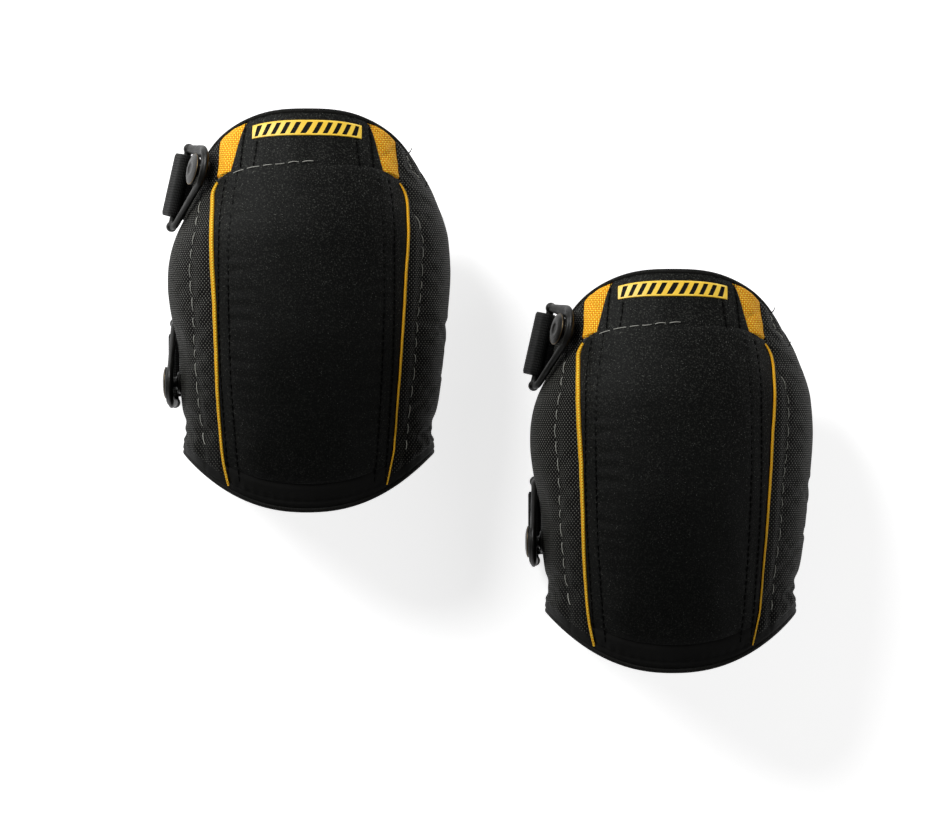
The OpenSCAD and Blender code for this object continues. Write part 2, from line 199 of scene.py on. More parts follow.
def toe_y(angle):
    end, bend, power = TOE
    a = np.abs(angle)
    share = np.sin(np.radians(np.minimum(a, 90))) ** power
    return end + bend * share + np.clip(a - 90, 0, None) * TOE_RISE


def thigh_y(angle):
    end, bend, power = THIGH
    return end - bend * (np.abs(angle) / WING_END) ** power


def aslant(angle):
    a = np.abs(angle)
    fall = thigh_y(np.clip(a - 1, 0, None)) - thigh_y(a)
    return np.hypot(1, fall / RUN_PER_DEGREE)


def along(angle, v):
    lo = toe_y(angle) + BINDING_GAP
    hi = thigh_y(angle) - BINDING_GAP * aslant(angle)
    return lo + (hi - lo) * v


def arc_length(angle, y, steps=24):
    """Distance round the pad from its crown, for cloth that lies on it."""
    total = 0
    for i in range(steps):
        total = total + np.linalg.norm(
            skin(angle * (i + 1) / steps, y) - skin(angle * i / steps, y), axis=-1
        )
    return np.sign(angle) * total


def angle_of(x, y):
    """The angle round the leg of the point that lies x across and y along the pad."""
    share = np.minimum(np.abs(x) / half_width(y, np.sign(x)), 1)
    return np.sign(x) * np.degrees(np.arcsin(share ** (1 / SECTION_POWER)))


def share_along(angle, y):
    """How far along the pad a point is, from 0 at the toe edge to 1 at the thigh edge."""
    lo = toe_y(angle) + BINDING_GAP
    return (y - lo) / (thigh_y(angle) - BINDING_GAP * aslant(angle) - lo)


def line_angles(points, side):
    """Stations and angles of a smooth line on one side of the pad, given as (y, x) points."""
    y = np.linspace(points[0][0] - PAST_ENDS, points[-1][0] + PAST_ENDS, 160)
    return y, angle_of(side * smooth_curve(points)(y), y)


def edge_curve(points, side):
    """The size of an edge's angle by its share along the pad."""
    y, angle = line_angles(points, side)
    share = share_along(angle, y)
    return lambda v: np.interp(v, share, np.abs(angle))


CAP_CURVE = {side: edge_curve(CAP_EDGE[side], side) for side in (-1, 1)}
WING_CURVE = {side: edge_curve(WING_EDGE[side], side) for side in (-1, 1)}


def cap_angle(v, side):
    return np.where(side < 0, CAP_CURVE[-1](v), CAP_CURVE[1](v))


def under_binding(v):
    """How far a panel dips at both ends, where it passes under the rolled edge."""
    end_in = np.minimum(v, 1 - v) * PAD_RUN
    return EDGE_DIP * clamp(0.4 - end_in / EDGE_DIP_RUN)


def bump(distance, wide):
    return np.exp(-((distance / wide) ** 2))


# ---- meshes ----


def smooth(mesh):
    mesh.polygons.foreach_set("use_smooth", np.ones(len(mesh.polygons), bool))
    return mesh


def new_mesh(name, points, faces, uv=None, sharp=40):
    mesh = bpy.data.meshes.new(name)
    mesh.from_pydata([tuple(p) for p in points], [], [tuple(int(i) for i in f) for f in faces])
    if uv is not None:
        layer = mesh.uv_layers.new(name="cloth")
        corner = np.empty(len(mesh.loops), np.int32)
        mesh.loops.foreach_get("vertex_index", corner)
        layer.data.foreach_set("uv", np.asarray(uv, np.float32)[corner].ravel())
    smooth(mesh).set_sharp_from_angle(angle=math.radians(sharp))
    mesh.update()
    return mesh


def grid_faces(n, m, start=0):
    """Quads of an n by m grid, wound so that they face out when rows follow X and columns Y."""
    corners = [start + i * m + j for i in range(n - 1) for j in range(m - 1)]
    return [(k, k + m, k + m + 1, k + 1) for k in corners]


def ring_faces(n, sides, closed=False):
    """Quads between n rings of points, the last one joined to the first if closed."""
    faces = []
    for i in range(n if closed else n - 1):
        low, high = i * sides, (i + 1) % n * sides
        for s in range(sides):
            after = (s + 1) % sides
            faces.append((low + s, low + after, high + after, high + s))
    return faces


def end_faces(n, sides):
    """A face over the first of n rings of points and one over the last."""
    return [tuple(range(sides))[::-1], tuple(range((n - 1) * sides, n * sides))]


def closed_layer(name, angle, y, top, low):
    """A closed mesh on the pad between two depths, over a grid of angles and stations."""
    n, m = angle.shape
    index = np.arange(n * m).reshape(n, m)
    rim = np.concatenate([index[:, 0], index[-1, 1:], index[-2::-1, -1], index[0, -2:0:-1]])
    rim_low = rim + n * m
    faces = grid_faces(n, m) + [face[::-1] for face in grid_faces(n, m, n * m)]
    faces += zip(rim_low, np.roll(rim_low, -1), np.roll(rim, -1), rim)
    points = np.concatenate([skin(angle, y, depth).reshape(-1, 3) for depth in (top, low)])
    uv = np.stack([arc_length(angle, y), y], -1).reshape(-1, 2)
    return new_mesh(name, points, faces, np.concatenate([uv, uv]))


def crowded(n, share=0.7):
    """n values from 0 to 1 that stand closer together towards both ends."""
    t = np.linspace(0, 1, n)
    return t - share * np.sin(2 * np.pi * t) / (2 * np.pi)


def rounded(distance, radius):
    """How far a folded edge drops at a distance in from it."""
    near = clamp(1 - distance / radius)
    return radius * (1 - np.sqrt(clamp(1 - near**2)))


def run_along(path):
    """The length along a path at each of its points."""
    return np.concatenate([[0], np.cumsum(np.linalg.norm(np.diff(path, axis=0), axis=1))])


def resampled(line, at):
    """Points of a line at lengths along it."""
    run = run_along(line)
    return np.stack([np.interp(at, run, part) for part in line.T], -1)


def relaxed(path, rounds):
    """A path with its corners rounded off and its ends kept."""
    for _ in range(rounds):
        path[1:-1] = (path[:-2] + 2 * path[1:-1] + path[2:]) / 4
    return path


def circle(radius, turn, z=0.0):
    """Points on a circle round Z, at turns in radians."""
    return np.stack([radius * np.cos(turn), radius * np.sin(turn), np.full(len(turn), z)], -1)


def full_turn(sides):
    return np.linspace(0, 2 * np.pi, sides, endpoint=False)


UP = (0, 0, 1)


def tube(name, path, up, radius, sides=10, closed=False, flat=1.0):
    """A tube through points, with a radius at each. flat widens it across its up vectors."""
    n = len(path)
    if closed:
        tangent = unit(np.roll(path, -1, 0) - np.roll(path, 1, 0))
    else:
        tangent = unit(np.gradient(path, axis=0))
    across = unit(np.cross(tangent, unit(np.broadcast_to(up, path.shape))))
    up = np.cross(across, tangent)
    radius, flat = (np.broadcast_to(size, n)[:, None, None] for size in (radius, flat))
    turn = full_turn(sides)[None, :, None]
    ring = np.cos(turn) * up[:, None] + flat * np.sin(turn) * across[:, None]
    points = path[:, None] + radius * ring
    faces = ring_faces(n, sides, closed)
    if not closed:
        faces += end_faces(n, sides)
    around = np.arange(sides) / sides * 2 * np.pi * float(np.mean(radius))
    uv = np.stack(np.broadcast_arrays(around[None, :], run_along(path)[:, None]), -1)
    return outward_mesh(new_mesh(name, points.reshape(-1, 3), faces, uv.reshape(-1, 2), sharp=60))


def outward_mesh(mesh, weld=0.0):
    """Turns a closed mesh's faces to look out, after joining points closer than weld."""
    bm = bmesh.new()
    bm.from_mesh(mesh)
    if weld:
        bmesh.ops.remove_doubles(bm, verts=bm.verts, dist=weld)
    bmesh.ops.recalc_face_normals(bm, faces=bm.faces)
    bm.to_mesh(mesh)
    bm.free()
    return mesh


def joined(name, meshes):
    """One mesh from several."""
    bm = bmesh.new()
    for mesh in meshes:
        bm.from_mesh(mesh)
    mesh = bpy.data.meshes.new(name)
    bm.to_mesh(mesh)
    bm.free()
    return smooth(mesh)


def put(name, data):
    """A new object in the scene."""
    obj = bpy.data.objects.new(name, data)
    bpy.context.scene.collection.objects.link(obj)
    return obj


def applied(obj):
    """The mesh that an object's curve or modifiers make; the object itself is removed."""
    solid = obj.evaluated_get(bpy.context.evaluated_depsgraph_get())
    mesh = bpy.data.meshes.new_from_object(solid)
    bpy.data.objects.remove(obj)
    return mesh


# ---- cloth ----

# Panels are simulated at this scale, where the solver's own margins are small
SIM_SCALE = 10
SIM_FRAMES = 20
SINK = 0.0003


def swelling(angle, y, pinned, slack, swell):
    """How far a sewn panel swells between its seams, at each point of a coarse grid."""
    start = skin(angle, y) * SIM_SCALE
    faces = grid_faces(*angle.shape)
    if angle[-1, 0] < angle[0, 0]:
        faces = [face[::-1] for face in faces]
    obj = put("panel", new_mesh("panel", start.reshape(-1, 3), faces))
    group = obj.vertex_groups.new(name="seams")
    group.add([int(i) for i in np.flatnonzero(pinned)], 1.0, "REPLACE")
    s = obj.modifiers.new("cloth", "CLOTH").settings
    s.quality = 8
    s.mass = 0.15
    s.tension_stiffness = s.compression_stiffness = 20
    s.shear_stiffness = 8
    s.bending_stiffness = 0.6
    s.shrink_min = -slack
    s.vertex_group_mass = "seams"
    s.use_pressure = True
    s.uniform_pressure_force = 4
    s.effector_weights.gravity = 0
    for number in range(1, SIM_FRAMES + 1):
        bpy.context.scene.frame_set(number)
    points = np.empty(start.size)
    applied(obj).vertices.foreach_get("co", points)
    bpy.context.scene.frame_set(1)
    moved = (points.reshape(start.shape) - start) / SIM_SCALE
    return np.clip(np.sum(moved * normal(angle, y), -1), -SINK, swell)


def cubic_weights(n, t):
    """Catmull-Rom weights of n evenly spaced samples at places t from 0 to 1."""
    at = t * (n - 1)
    i = np.clip(at.astype(int), 0, n - 2)
    f = at - i
    table = np.zeros((len(t), n))
    parts = [
        (-1, (-f + 2 * f**2 - f**3) / 2), (0, (2 - 5 * f**2 + 3 * f**3) / 2),
        (1, (f + 4 * f**2 - 3 * f**3) / 2), (2, (-(f**2) + f**3) / 2),
    ]
    for offset, weight in parts:
        np.add.at(table, (np.arange(len(t)), np.clip(i + offset, 0, n - 1)), weight)
    return table


def spread(coarse, s, v):
    """Coarse grid values at the places s across and v along, smoothly."""
    return cubic_weights(coarse.shape[0], s) @ coarse @ cubic_weights(coarse.shape[1], v).T


# ---- materials ----


def srgb(r, g, b):
    linear = [
        c / 12.92 if c <= 0.04045 else ((c + 0.055) / 1.055) ** 2.4
        for c in (r / 255, g / 255, b / 255)
    ]
    return (*linear, 1)


def shade(colour, share):
    return (*(share * c for c in colour[:3]), 1)


class Look:
    """A material and the few node shapes that the looks below are made of."""

    def __init__(self, name, roughness, **sockets):
        self.material = bpy.data.materials.new(name)
        self.material.use_nodes = True
        self.tree = self.material.node_tree
        self.shader = self.tree.nodes["Principled BSDF"]
        self.shader.inputs["Roughness"].default_value = roughness
        for key, value in sockets.items():
            self.shader.inputs[key.replace("_", " ")].default_value = value

    def link(self, value, socket):
        if isinstance(value, bpy.types.NodeSocket):
            self.tree.links.new(value, socket)
        else:
            socket.default_value = value

    def node(self, kind, inputs, **settings):
        made = self.tree.nodes.new("ShaderNode" + kind)
        for key, value in settings.items():
            setattr(made, key, value)
        for key, value in inputs.items():
            self.link(value, made.inputs[key])
        return made

    def math(self, operation, a, b=0.0, c=0.0):
        return self.node("Math", {0: a, 1: b, 2: c}, operation=operation).outputs[0]

    def times(self, a, b):
        return self.math("MULTIPLY", a, b)

    def plus(self, a, b):
        return self.math("ADD", a, b)

    def ridges(self, along, pitch=1.0):
        """Round ridges, one to each pitch, with sharp valleys between them."""
        return self.math("ABSOLUTE", self.math("SINE", self.times(along, math.pi / pitch)))

    def ramp(self, value, low, high, to_low=0.0, to_high=1.0):
        """Goes smoothly from to_low to to_high while value goes from low to high."""
        ends = {"From Min": low, "From Max": high, "To Min": to_low, "To Max": to_high}
        made = self.node("MapRange", {"Value": value, **ends}, interpolation_type="SMOOTHSTEP")
        return made.outputs["Result"]

    def mix(self, factor, a, b):
        return self.node("Mix", {0: factor, 6: a, 7: b}, data_type="RGBA").outputs[2]

    def place(self):
        return self.node("TexCoord", {}).outputs["Object"]

    def uv(self):
        split = self.node("SeparateXYZ", {0: self.node("UVMap", {}).outputs[0]})
        return split.outputs[0], split.outputs[1]

    def noise(self, scale, detail=3.0, roughness=0.5):
        inputs = {"Vector": self.place(), "Scale": scale, "Detail": detail, "Roughness": roughness}
        return self.node("TexNoise", inputs).outputs["Fac"]

    def cells(self, scale):
        inputs = {"Vector": self.place(), "Scale": scale}
        return self.node("TexVoronoi", inputs, feature="F1").outputs

    def flecks(self, scale, share):
        """1 on scattered cells and 0 elsewhere, each cell 1/scale across."""
        cells = self.cells(scale)
        pick = self.node("SeparateColor", {0: cells["Color"]}).outputs[0]
        near = self.ramp(cells["Distance"], 0.15, 0.5, 1, 0)
        return self.times(self.ramp(pick, 1 - share, 1 - 0.7 * share), near)

    def weave(self, cell, turned=0.0):
        """Height of a plain weave over the piece's own UVs, and which threads lie on top."""
        u, v = self.uv()
        if turned:
            c, s = math.cos(math.radians(turned)), math.sin(math.radians(turned))
            u, v = (
                self.math("SUBTRACT", self.times(u, c), self.times(v, s)),
                self.plus(self.times(u, s), self.times(v, c)),
            )
        u, v = self.math("DIVIDE", u, cell), self.math("DIVIDE", v, cell)
        wave_u, wave_v = self.ridges(u), self.ridges(v)
        both = self.plus(self.math("FLOOR", u), self.math("FLOOR", v))
        over = self.math("FLOORED_MODULO", both, 2.0)
        warp, weft = (
            self.times(self.math("POWER", a, 0.6), self.math("MULTIPLY_ADD", b, 0.45, 0.55))
            for a, b in ((wave_u, wave_v), (wave_v, wave_u))
        )
        height = self.node("Mix", {0: over, 2: warp, 3: weft}, data_type="FLOAT")
        return height.outputs[0], over

    def bump(self, height, depth, under=None):
        made = self.node("Bump", {"Height": height, "Distance": depth, "Strength": 1.0})
        if under is not None:
            self.link(under, made.inputs["Normal"])
        self.tree.links.new(made.outputs[0], self.shader.inputs["Normal"])
        return made.outputs[0]

    def tone(self, value, first, second, spread=(0.3, 0.7)):
        """A colour that drifts from first to second as value crosses the spread."""
        return self.mix(self.ramp(value, *spread), first, second)

    def colour(self, value):
        self.link(value, self.shader.inputs["Base Color"])

    def rough(self, value, first, second, spread=(0.3, 0.7)):
        """Roughness that goes from first to second as value crosses the spread."""
        self.link(self.ramp(value, *spread, first, second), self.shader.inputs["Roughness"])


def coated_neoprene():
    look = Look("coated_neoprene", 0.6, Specular_IOR_Level=0.11)
    grain, cloud = look.noise(1100, 4, 0.65), look.noise(28)
    base = look.tone(cloud, srgb(3, 4, 3), srgb(6, 7, 6), (0.35, 0.7))
    # Painted light: the pebble tops and glints are painted lighter towards the thigh, where a
    # grazing lamp lights them most
    painted_light_to_thigh = look.ramp(look.uv()[1], -0.03, 0.105, 0.35, 1)
    # The pebble tops take a lighter colour: painted highlights
    pebble_highlights = look.times(look.ramp(grain, 0.5, 0.68), painted_light_to_thigh)
    base = look.mix(pebble_highlights, base, srgb(56, 57, 53))
    painted_glint_share = look.times(look.ramp(cloud, 0.3, 0.65, 0.3, 1), painted_light_to_thigh)
    # Scattered bright flecks, shinier than the face: painted glints
    painted_glints = look.times(look.flecks(1500, 0.06), painted_glint_share)
    look.colour(look.mix(painted_glints, base, srgb(120, 122, 116)))
    look.rough(painted_glints, 0.6, 0.3, (0, 1))
    look.bump(look.plus(grain, painted_glints), 0.0003)
    return look.material


def ballistic_weave():
    look = Look("ballistic_weave", 0.5, Specular_IOR_Level=0.1)
    height, over = look.weave(0.00128)
    # One set of threads is painted light as their sheen and the other near black; that painted
    # highlight fades towards the toe
    toe_sheen_fade = look.ramp(look.uv()[1], -0.1, 0.03, 0.8, 0)
    light = look.mix(toe_sheen_fade, srgb(108, 108, 101), srgb(62, 62, 57))
    thread = look.mix(over, light, srgb(4, 4, 3))
    worn = look.mix(look.ramp(look.noise(40, 4), 0.4, 0.75, 0, 0.2), thread, srgb(26, 26, 24))
    # The low gaps between the threads are darkened: painted shade
    look.colour(look.tone(height, srgb(1, 1, 1), worn, (0.62, 1.0)))
    look.rough(height, 0.85, 0.5, (0.2, 1))
    look.bump(height, 0.00042, look.bump(look.noise(5200, 2), 0.00005))
    return look.material


def yellow_weave(name, cell, turned, open_from, depth):
    """Woven yellow webbing. Its threads show from the height open_from up."""
    look = Look(name, 0.6, Specular_IOR_Level=0.12)
    height, over = look.weave(cell, turned)
    thread = look.mix(over, srgb(255, 228, 74), srgb(252, 186, 18))
    thread = look.mix(look.ramp(look.noise(900), 0.4, 0.8, 0, 0.3), thread, srgb(255, 238, 112))
    # Below the height open_from the gaps between threads turn deep orange: painted shade
    look.colour(look.tone(height, srgb(228, 118, 2), thread, (open_from, open_from + 0.43)))
    look.rough(height, 0.85, 0.55, (0.2, 1))
    look.bump(height, depth)
    return look.material


def plain_tape(name, colour, rib):
    """Narrow woven tape whose ribs cross its length."""
    look = Look(name, 0.8, Specular_IOR_Level=0.12)
    ribs = look.ridges(look.uv()[1], rib)
    # The valleys between the ribs are darkened: painted shade
    look.colour(look.tone(ribs, shade(colour, 0.35), colour, (0.1, 0.8)))
    look.rough(look.noise(300), 0.58, 0.75)
    look.bump(ribs, 0.00018)
    return look.material


def hem_cloth():
    look = Look("hem_cloth", 0.7, Specular_IOR_Level=0.14)
    cloud, grain = look.noise(60), look.noise(3800)
    base = look.tone(cloud, srgb(7, 7, 6), srgb(12, 12, 11), (0.35, 0.7))
    # The grain is flecked lighter: painted highlights
    look.colour(look.tone(grain, base, srgb(24, 24, 22), (0.5, 0.8)))
    look.rough(cloud, 0.62, 0.75)
    look.bump(grain, 0.00012)
    return look.material


def label_print():
    """Satin yellow film."""
    look = Look("label_print", 0.38, Specular_IOR_Level=0.45)
    look.colour(look.tone(look.noise(120), srgb(252, 212, 78), srgb(246, 200, 62), (0.3, 0.75)))
    look.rough(look.noise(260), 0.32, 0.46)
    look.bump(look.noise(2200, 2), 0.00006)
    return look.material


def moulded(name, colour, worn, roughness, shine=0.5):
    """Finely grained plastic, scuffed to the worn colour along its edges."""
    look = Look(name, roughness, Specular_IOR_Level=shine)
    cloud, grain = look.noise(90, 4), look.noise(4200, 2)
    edge = look.node("NewGeometry", {}).outputs["Pointiness"]
    rub = look.times(look.ramp(edge, 0.52, 0.6), look.ramp(cloud, 0.35, 0.6))
    base = look.tone(cloud, colour, shade(colour, 1.25))
    look.colour(look.mix(look.times(rub, 0.6), base, worn))
    look.rough(cloud, roughness - 0.06, roughness + 0.1)
    look.bump(look.plus(grain, look.times(cloud, 2.0)), 0.00005)
    return look.material


def brass():
    look = Look("brass", 0.34, Metallic=1.0)
    cloud = look.noise(400)
    look.colour(look.tone(cloud, srgb(112, 92, 60), srgb(78, 66, 46)))
    look.rough(cloud, 0.28, 0.5)
    look.bump(look.noise(3000, 2), 0.00003)
    return look.material


def thread_look(name, colour, shine):
    """Twisted sewing thread."""
    look = Look(name, 0.55, Specular_IOR_Level=shine)
    u, v = look.uv()
    lay = look.plus(look.times(u, 2400.0), look.times(v, 4200.0))
    twist = look.ridges(lay, math.pi)
    # The grooves of the twist are darkened: painted shade
    look.colour(look.tone(twist, shade(colour, 0.45), colour, (0.1, 0.7)))
    look.bump(twist, 0.00006)
    return look.material


def elastic_webbing():
    look = Look("elastic_webbing", 0.7, Specular_IOR_Level=0.12)
    u, v = look.uv()
    rib, pick = look.ridges(u, 0.0016), look.ridges(v, 0.0009)
    height = look.math("MULTIPLY_ADD", pick, 0.5, look.math("POWER", rib, 0.5))
    tone = look.tone(look.noise(70), srgb(10, 11, 10), srgb(16, 16, 15))
    # The low gaps between ribs and picks are darkened: painted shade
    look.colour(look.tone(height, srgb(2, 2, 2), tone, (0.2, 1.2)))
    look.rough(height, 0.8, 0.55, (0.3, 1.3))
    look.bump(height, 0.00025)
    return look.material


def foam(name, colour, cell, roughness=0.9):
    look = Look(name, roughness, Specular_IOR_Level=0.2)
    pores = look.cells(1 / cell)["Distance"]
    # The pores are darkened: painted shade
    look.colour(look.tone(pores, shade(colour, 0.4), colour, (0.1, 0.45)))
    look.rough(look.noise(60), roughness - 0.08, roughness)
    look.bump(pores, 0.3 * cell)
    return look.material


def gel():
    look = Look("gel", 0.18, Transmission_Weight=0.5, IOR=1.41)
    cloud = look.noise(40)
    look.colour(look.tone(cloud, srgb(96, 146, 190), srgb(126, 170, 205)))
    look.rough(cloud, 0.14, 0.26)
    look.bump(look.noise(300), 0.0001)
    return look.material


def lining_knit():
    """Fine knit: upright wales crossed by leaning courses."""
    look = Look("lining_knit", 0.85, Specular_IOR_Level=0.2, Sheen_Weight=0.25)
    u, v = look.uv()
    wale = look.ridges(u, 0.0009)
    turn = look.plus(look.times(v, 2 * math.pi / 0.0013), look.times(wale, 1.6))
    height = look.plus(wale, look.times(look.math("SINE", turn), 0.5))
    tone = look.tone(look.noise(50), srgb(40, 40, 42), srgb(52, 52, 53))
    # The valleys of the knit are darkened: painted shade
    look.colour(look.tone(height, srgb(9, 9, 10), tone, (-0.2, 1.2)))
    look.rough(height, 0.95, 0.8, (0, 1.2))
    look.bump(height, 0.0003)
    return look.material


def paper_floor():
    look = Look("paper_floor", 0.9, Specular_IOR_Level=0.1)
    look.colour(look.tone(look.noise(8, 2), shade((1, 1, 1), 0.86), shade((1, 1, 1), 0.88)))
    look.shader.inputs["Emission Color"].default_value = (1, 1, 1, 1)
    look.shader.inputs["Emission Strength"].default_value = 0.76
    return look.material


LOOKS = {
    "cap": coated_neoprene(),
    "weave": ballistic_weave(),
    "gusset": yellow_weave("yellow_weave", 0.00130, 0, 0.42, 0.0004),
    "piping": yellow_weave("yellow_piping", 0.00125, 45, 0.27, 0.0003),
    "hem": hem_cloth(),
    "binding": plain_tape("binding_tape", srgb(22, 22, 20), 0.0009),
    "label": label_print(),
    "clip": moulded("clip_plastic", srgb(12, 12, 10), srgb(46, 44, 40), 0.4, 0.24),
    "button": moulded("button_plastic", srgb(16, 15, 13), srgb(48, 46, 40), 0.34, 0.34),
    "slider": moulded("slider_plastic", srgb(30, 30, 29), srgb(84, 84, 82), 0.4),
    "brass": brass(),
    "light_thread": thread_look("light_thread", srgb(176, 176, 168), 0.3),
    "dark_thread": thread_look("dark_thread", srgb(2, 2, 2), 0.03),
    "strap": elastic_webbing(),
    "core": foam("core_foam", srgb(64, 64, 66), 0.0012, 0.85),
    "comfort": foam("comfort_foam_cells", srgb(120, 128, 138), 0.0018),
    "gel": gel(),
    "lining": lining_knit(),
}


# ---- placing ----


def pad_centre(side):
    """Where a pad's own frame stands, from its CAD nodes."""
    cap_lo, cap_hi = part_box(f"{side}_cap_panel")
    core_lo, core_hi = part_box(f"{side}_foam_core")
    middle = float(along(0, 0) + along(0, 1)) / 2
    return Vector(((cap_lo.x + cap_hi.x) / 2, (core_lo.y + core_hi.y) / 2 - middle, 0))


CENTRES = {side: pad_centre(side) for side in SIDES}


def add_piece(side, name, mesh, look, node=None, body="pad", at=None):
    """Puts a mesh on one pad as a piece that rides on a body, or on none until it is blended."""
    obj = put(f"{side}_{name}", mesh)
    if not mesh.materials:
        mesh.materials.append(LOOKS[look])
    obj.matrix_world = Matrix.Translation(CENTRES[side]) @ (at or Matrix.Identity(4))
    if body:
        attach(obj, f"{side}_{body}")
    if node:
        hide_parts(f"{side}_{node}")
    return obj


def add_both(name, mesh, look, node=None):
    return [add_piece(side, name, mesh, look, node) for side in SIDES]


def two_looks(mesh, first, second, use_second):
    """Gives the outer faces of a layer one of two looks each."""
    mesh.materials.append(LOOKS[first])
    mesh.materials.append(LOOKS[second])
    index = np.zeros(len(mesh.polygons), np.int32)
    index[: use_second.size] = use_second.ravel()
    mesh.polygons.foreach_set("material_index", index)
    return mesh


# ---- cap, neck, hem and label ----

STITCH_PITCH = 0.0042
CAP_EDGE_R = 0.0016
# The groove that a row of stitches pulls into the cloth
GROOVE_W = 0.0007
GROOVE_D = 0.0006
# Seams, as shares of the way from the toe edge to the thigh edge
TOE_SEAM = 0.055
SHOULDER = (0.822, 0.874)
CAP_THICK = 0.0011
CAP_GRID = (131, 251)
CAP_SIM_GRID = (33, 45)
NECK_FROM = 0.845
NECK_THICK = 0.0009
HEM_THICK = 0.0010


def cap_top(s):
    """Where the cap ends towards the thigh: an arch that drops round both shoulders."""
    return SHOULDER[0] + (SHOULDER[1] - SHOULDER[0]) * np.sqrt(clamp(1 - np.abs(s) ** 7))


def row_angle(row, side):
    """Angle of a row of stitches at each station along the leg."""
    stations, angles = line_angles(row, side)
    return lambda y: np.interp(y, stations, angles)


def from_rows(rows, angle, y):
    """Distance to the nearest of the rows of dark stitches."""
    here = np.abs(arc_length(angle, y))
    lines = [np.abs(arc_length(row_angle(row, 1)(y), y)) for row in rows]
    return np.min([np.abs(here - line) for line in lines], axis=0)


def cap_grid(s, t):
    """Places along the pad, angles and stations of a grid over the cap."""
    s = s[:, None]
    v = TOE_SEAM + (cap_top(s) - TOE_SEAM) * t[None, :]
    angle = cap_angle(v, s) * s
    return v, angle, along(angle, v)


def cap_puff(s, t):
    """How far the cap's cloth swells out between its seams."""
    coarse_s, coarse_t = np.linspace(-1, 1, CAP_SIM_GRID[0]), np.linspace(0, 1, CAP_SIM_GRID[1])
    v, angle, y = cap_grid(coarse_s, coarse_t)
    pinned = np.zeros(v.shape, bool)
    pinned[:3] = pinned[-3:] = True
    pinned[:, :1] = pinned[:, -1:] = True
    puff = swelling(angle, y, pinned, slack=0.006, swell=0.0012)
    return spread(puff, (s + 1) / 2, t)


def cap_panel():
    s, t = 2 * crowded(CAP_GRID[0]) - 1, crowded(CAP_GRID[1], 0.3)
    v, angle, y = cap_grid(s, t)
    edge = np.where(s[:, None] < 0, -1, 1) * cap_angle(v, s[:, None])
    side_in = np.abs(arc_length(edge, y)) - np.abs(arc_length(angle, y))
    end_in = np.minimum(cap_top(s)[:, None] - v, v - TOE_SEAM) * 0.233
    row_in = from_rows(CAP_ROWS, angle, y)
    dashes = 0.55 + 0.45 * np.cos((y - 0.0008) * 2 * np.pi / STITCH_PITCH)
    depth = rounded(np.minimum(side_in, end_in), CAP_EDGE_R)
    depth = depth + GROOVE_D * dashes * bump(row_in, GROOVE_W)
    depth = depth - cap_puff(s, t) * clamp(side_in / 0.012)
    # Fine dents between the stitches, and the slow waves of a stiff laminated face
    ripple = 0.00006 * np.sin(y * 2 * np.pi / STITCH_PITCH) * bump(row_in, 0.0016)
    wave = 0.00035 * np.sin(y * 47 + angle * 0.11) * np.sin(angle * 0.21 + 1.3 + y * 31)
    depth = depth + ripple + wave * clamp(side_in / 0.01)
    return closed_layer("cap_panel", angle, y, depth, np.maximum(depth, 0) + CAP_THICK)


def neck_panel():
    s, t = 2 * crowded(91) - 1, np.linspace(0, 1, 41)[None, :]
    v = NECK_FROM + (1 + UNDER - NECK_FROM) * t * np.ones((len(s), 1))
    angle = neck_angle(v) * s[:, None]
    y = along(angle, v)
    side_in = np.abs(arc_length(neck_angle(v), y)) - np.abs(arc_length(angle, y))
    row_in = from_rows(NECK_ROWS, angle, y) + 0.01 * np.clip(0.083 - y, 0, None)
    under_cap = clamp((0.875 - v) / 0.02)
    wave = 0.00035 * np.sin(angle * 0.35 + 40 * y) * clamp(side_in / 0.008) * (1 - t)
    depth = rounded(side_in, 0.0012) + GROOVE_D * bump(row_in, GROOVE_W) + 0.0004 * under_cap
    depth = depth - wave + under_binding(v)
    return closed_layer("neck_panel", angle, y, depth, depth + NECK_THICK)


def toe_hem():
    s, t = 2 * crowded(121) - 1, crowded(25, 0.6)[None, :]
    v = -UNDER + (TOE_SEAM + 0.004 + UNDER) * t * np.ones((len(s), 1))
    angle = (cap_angle(v, s[:, None]) + 0.9) * s[:, None]
    y = along(angle, v)
    under_cap = clamp((v - TOE_SEAM + 0.012) / 0.012)
    puckers = 0.00018 * np.sin(arc_length(angle, y) * 2 * np.pi / 0.0061) * bump(v - 0.018, 0.012)
    depth = 0.0007 * under_cap + 0.0005 * bump(v - 0.012, 0.004) + puckers + under_binding(v)
    return closed_layer("toe_hem", angle, y, depth, depth + HEM_THICK)


LABEL_ANGLE = 32.5
LABEL_V = (0.946, 0.986)
LABEL_BORDER = 0.0012
LABEL_RIM = 0.3
LABEL_LIFT = 0.00065
BAR_SINK = 0.0004
LABEL_BARS = 11
# Columns of the mesh to each bar and its gap, and which of them are dark
BAR_CELLS = 20
DARK_CELLS = (5, 15)
BAR_ROWS = 24
LABEL_LEAN = 0.5
# The pad narrows here, so the label's ends and bars spread to stay parallel
LABEL_SPREAD = 0.09


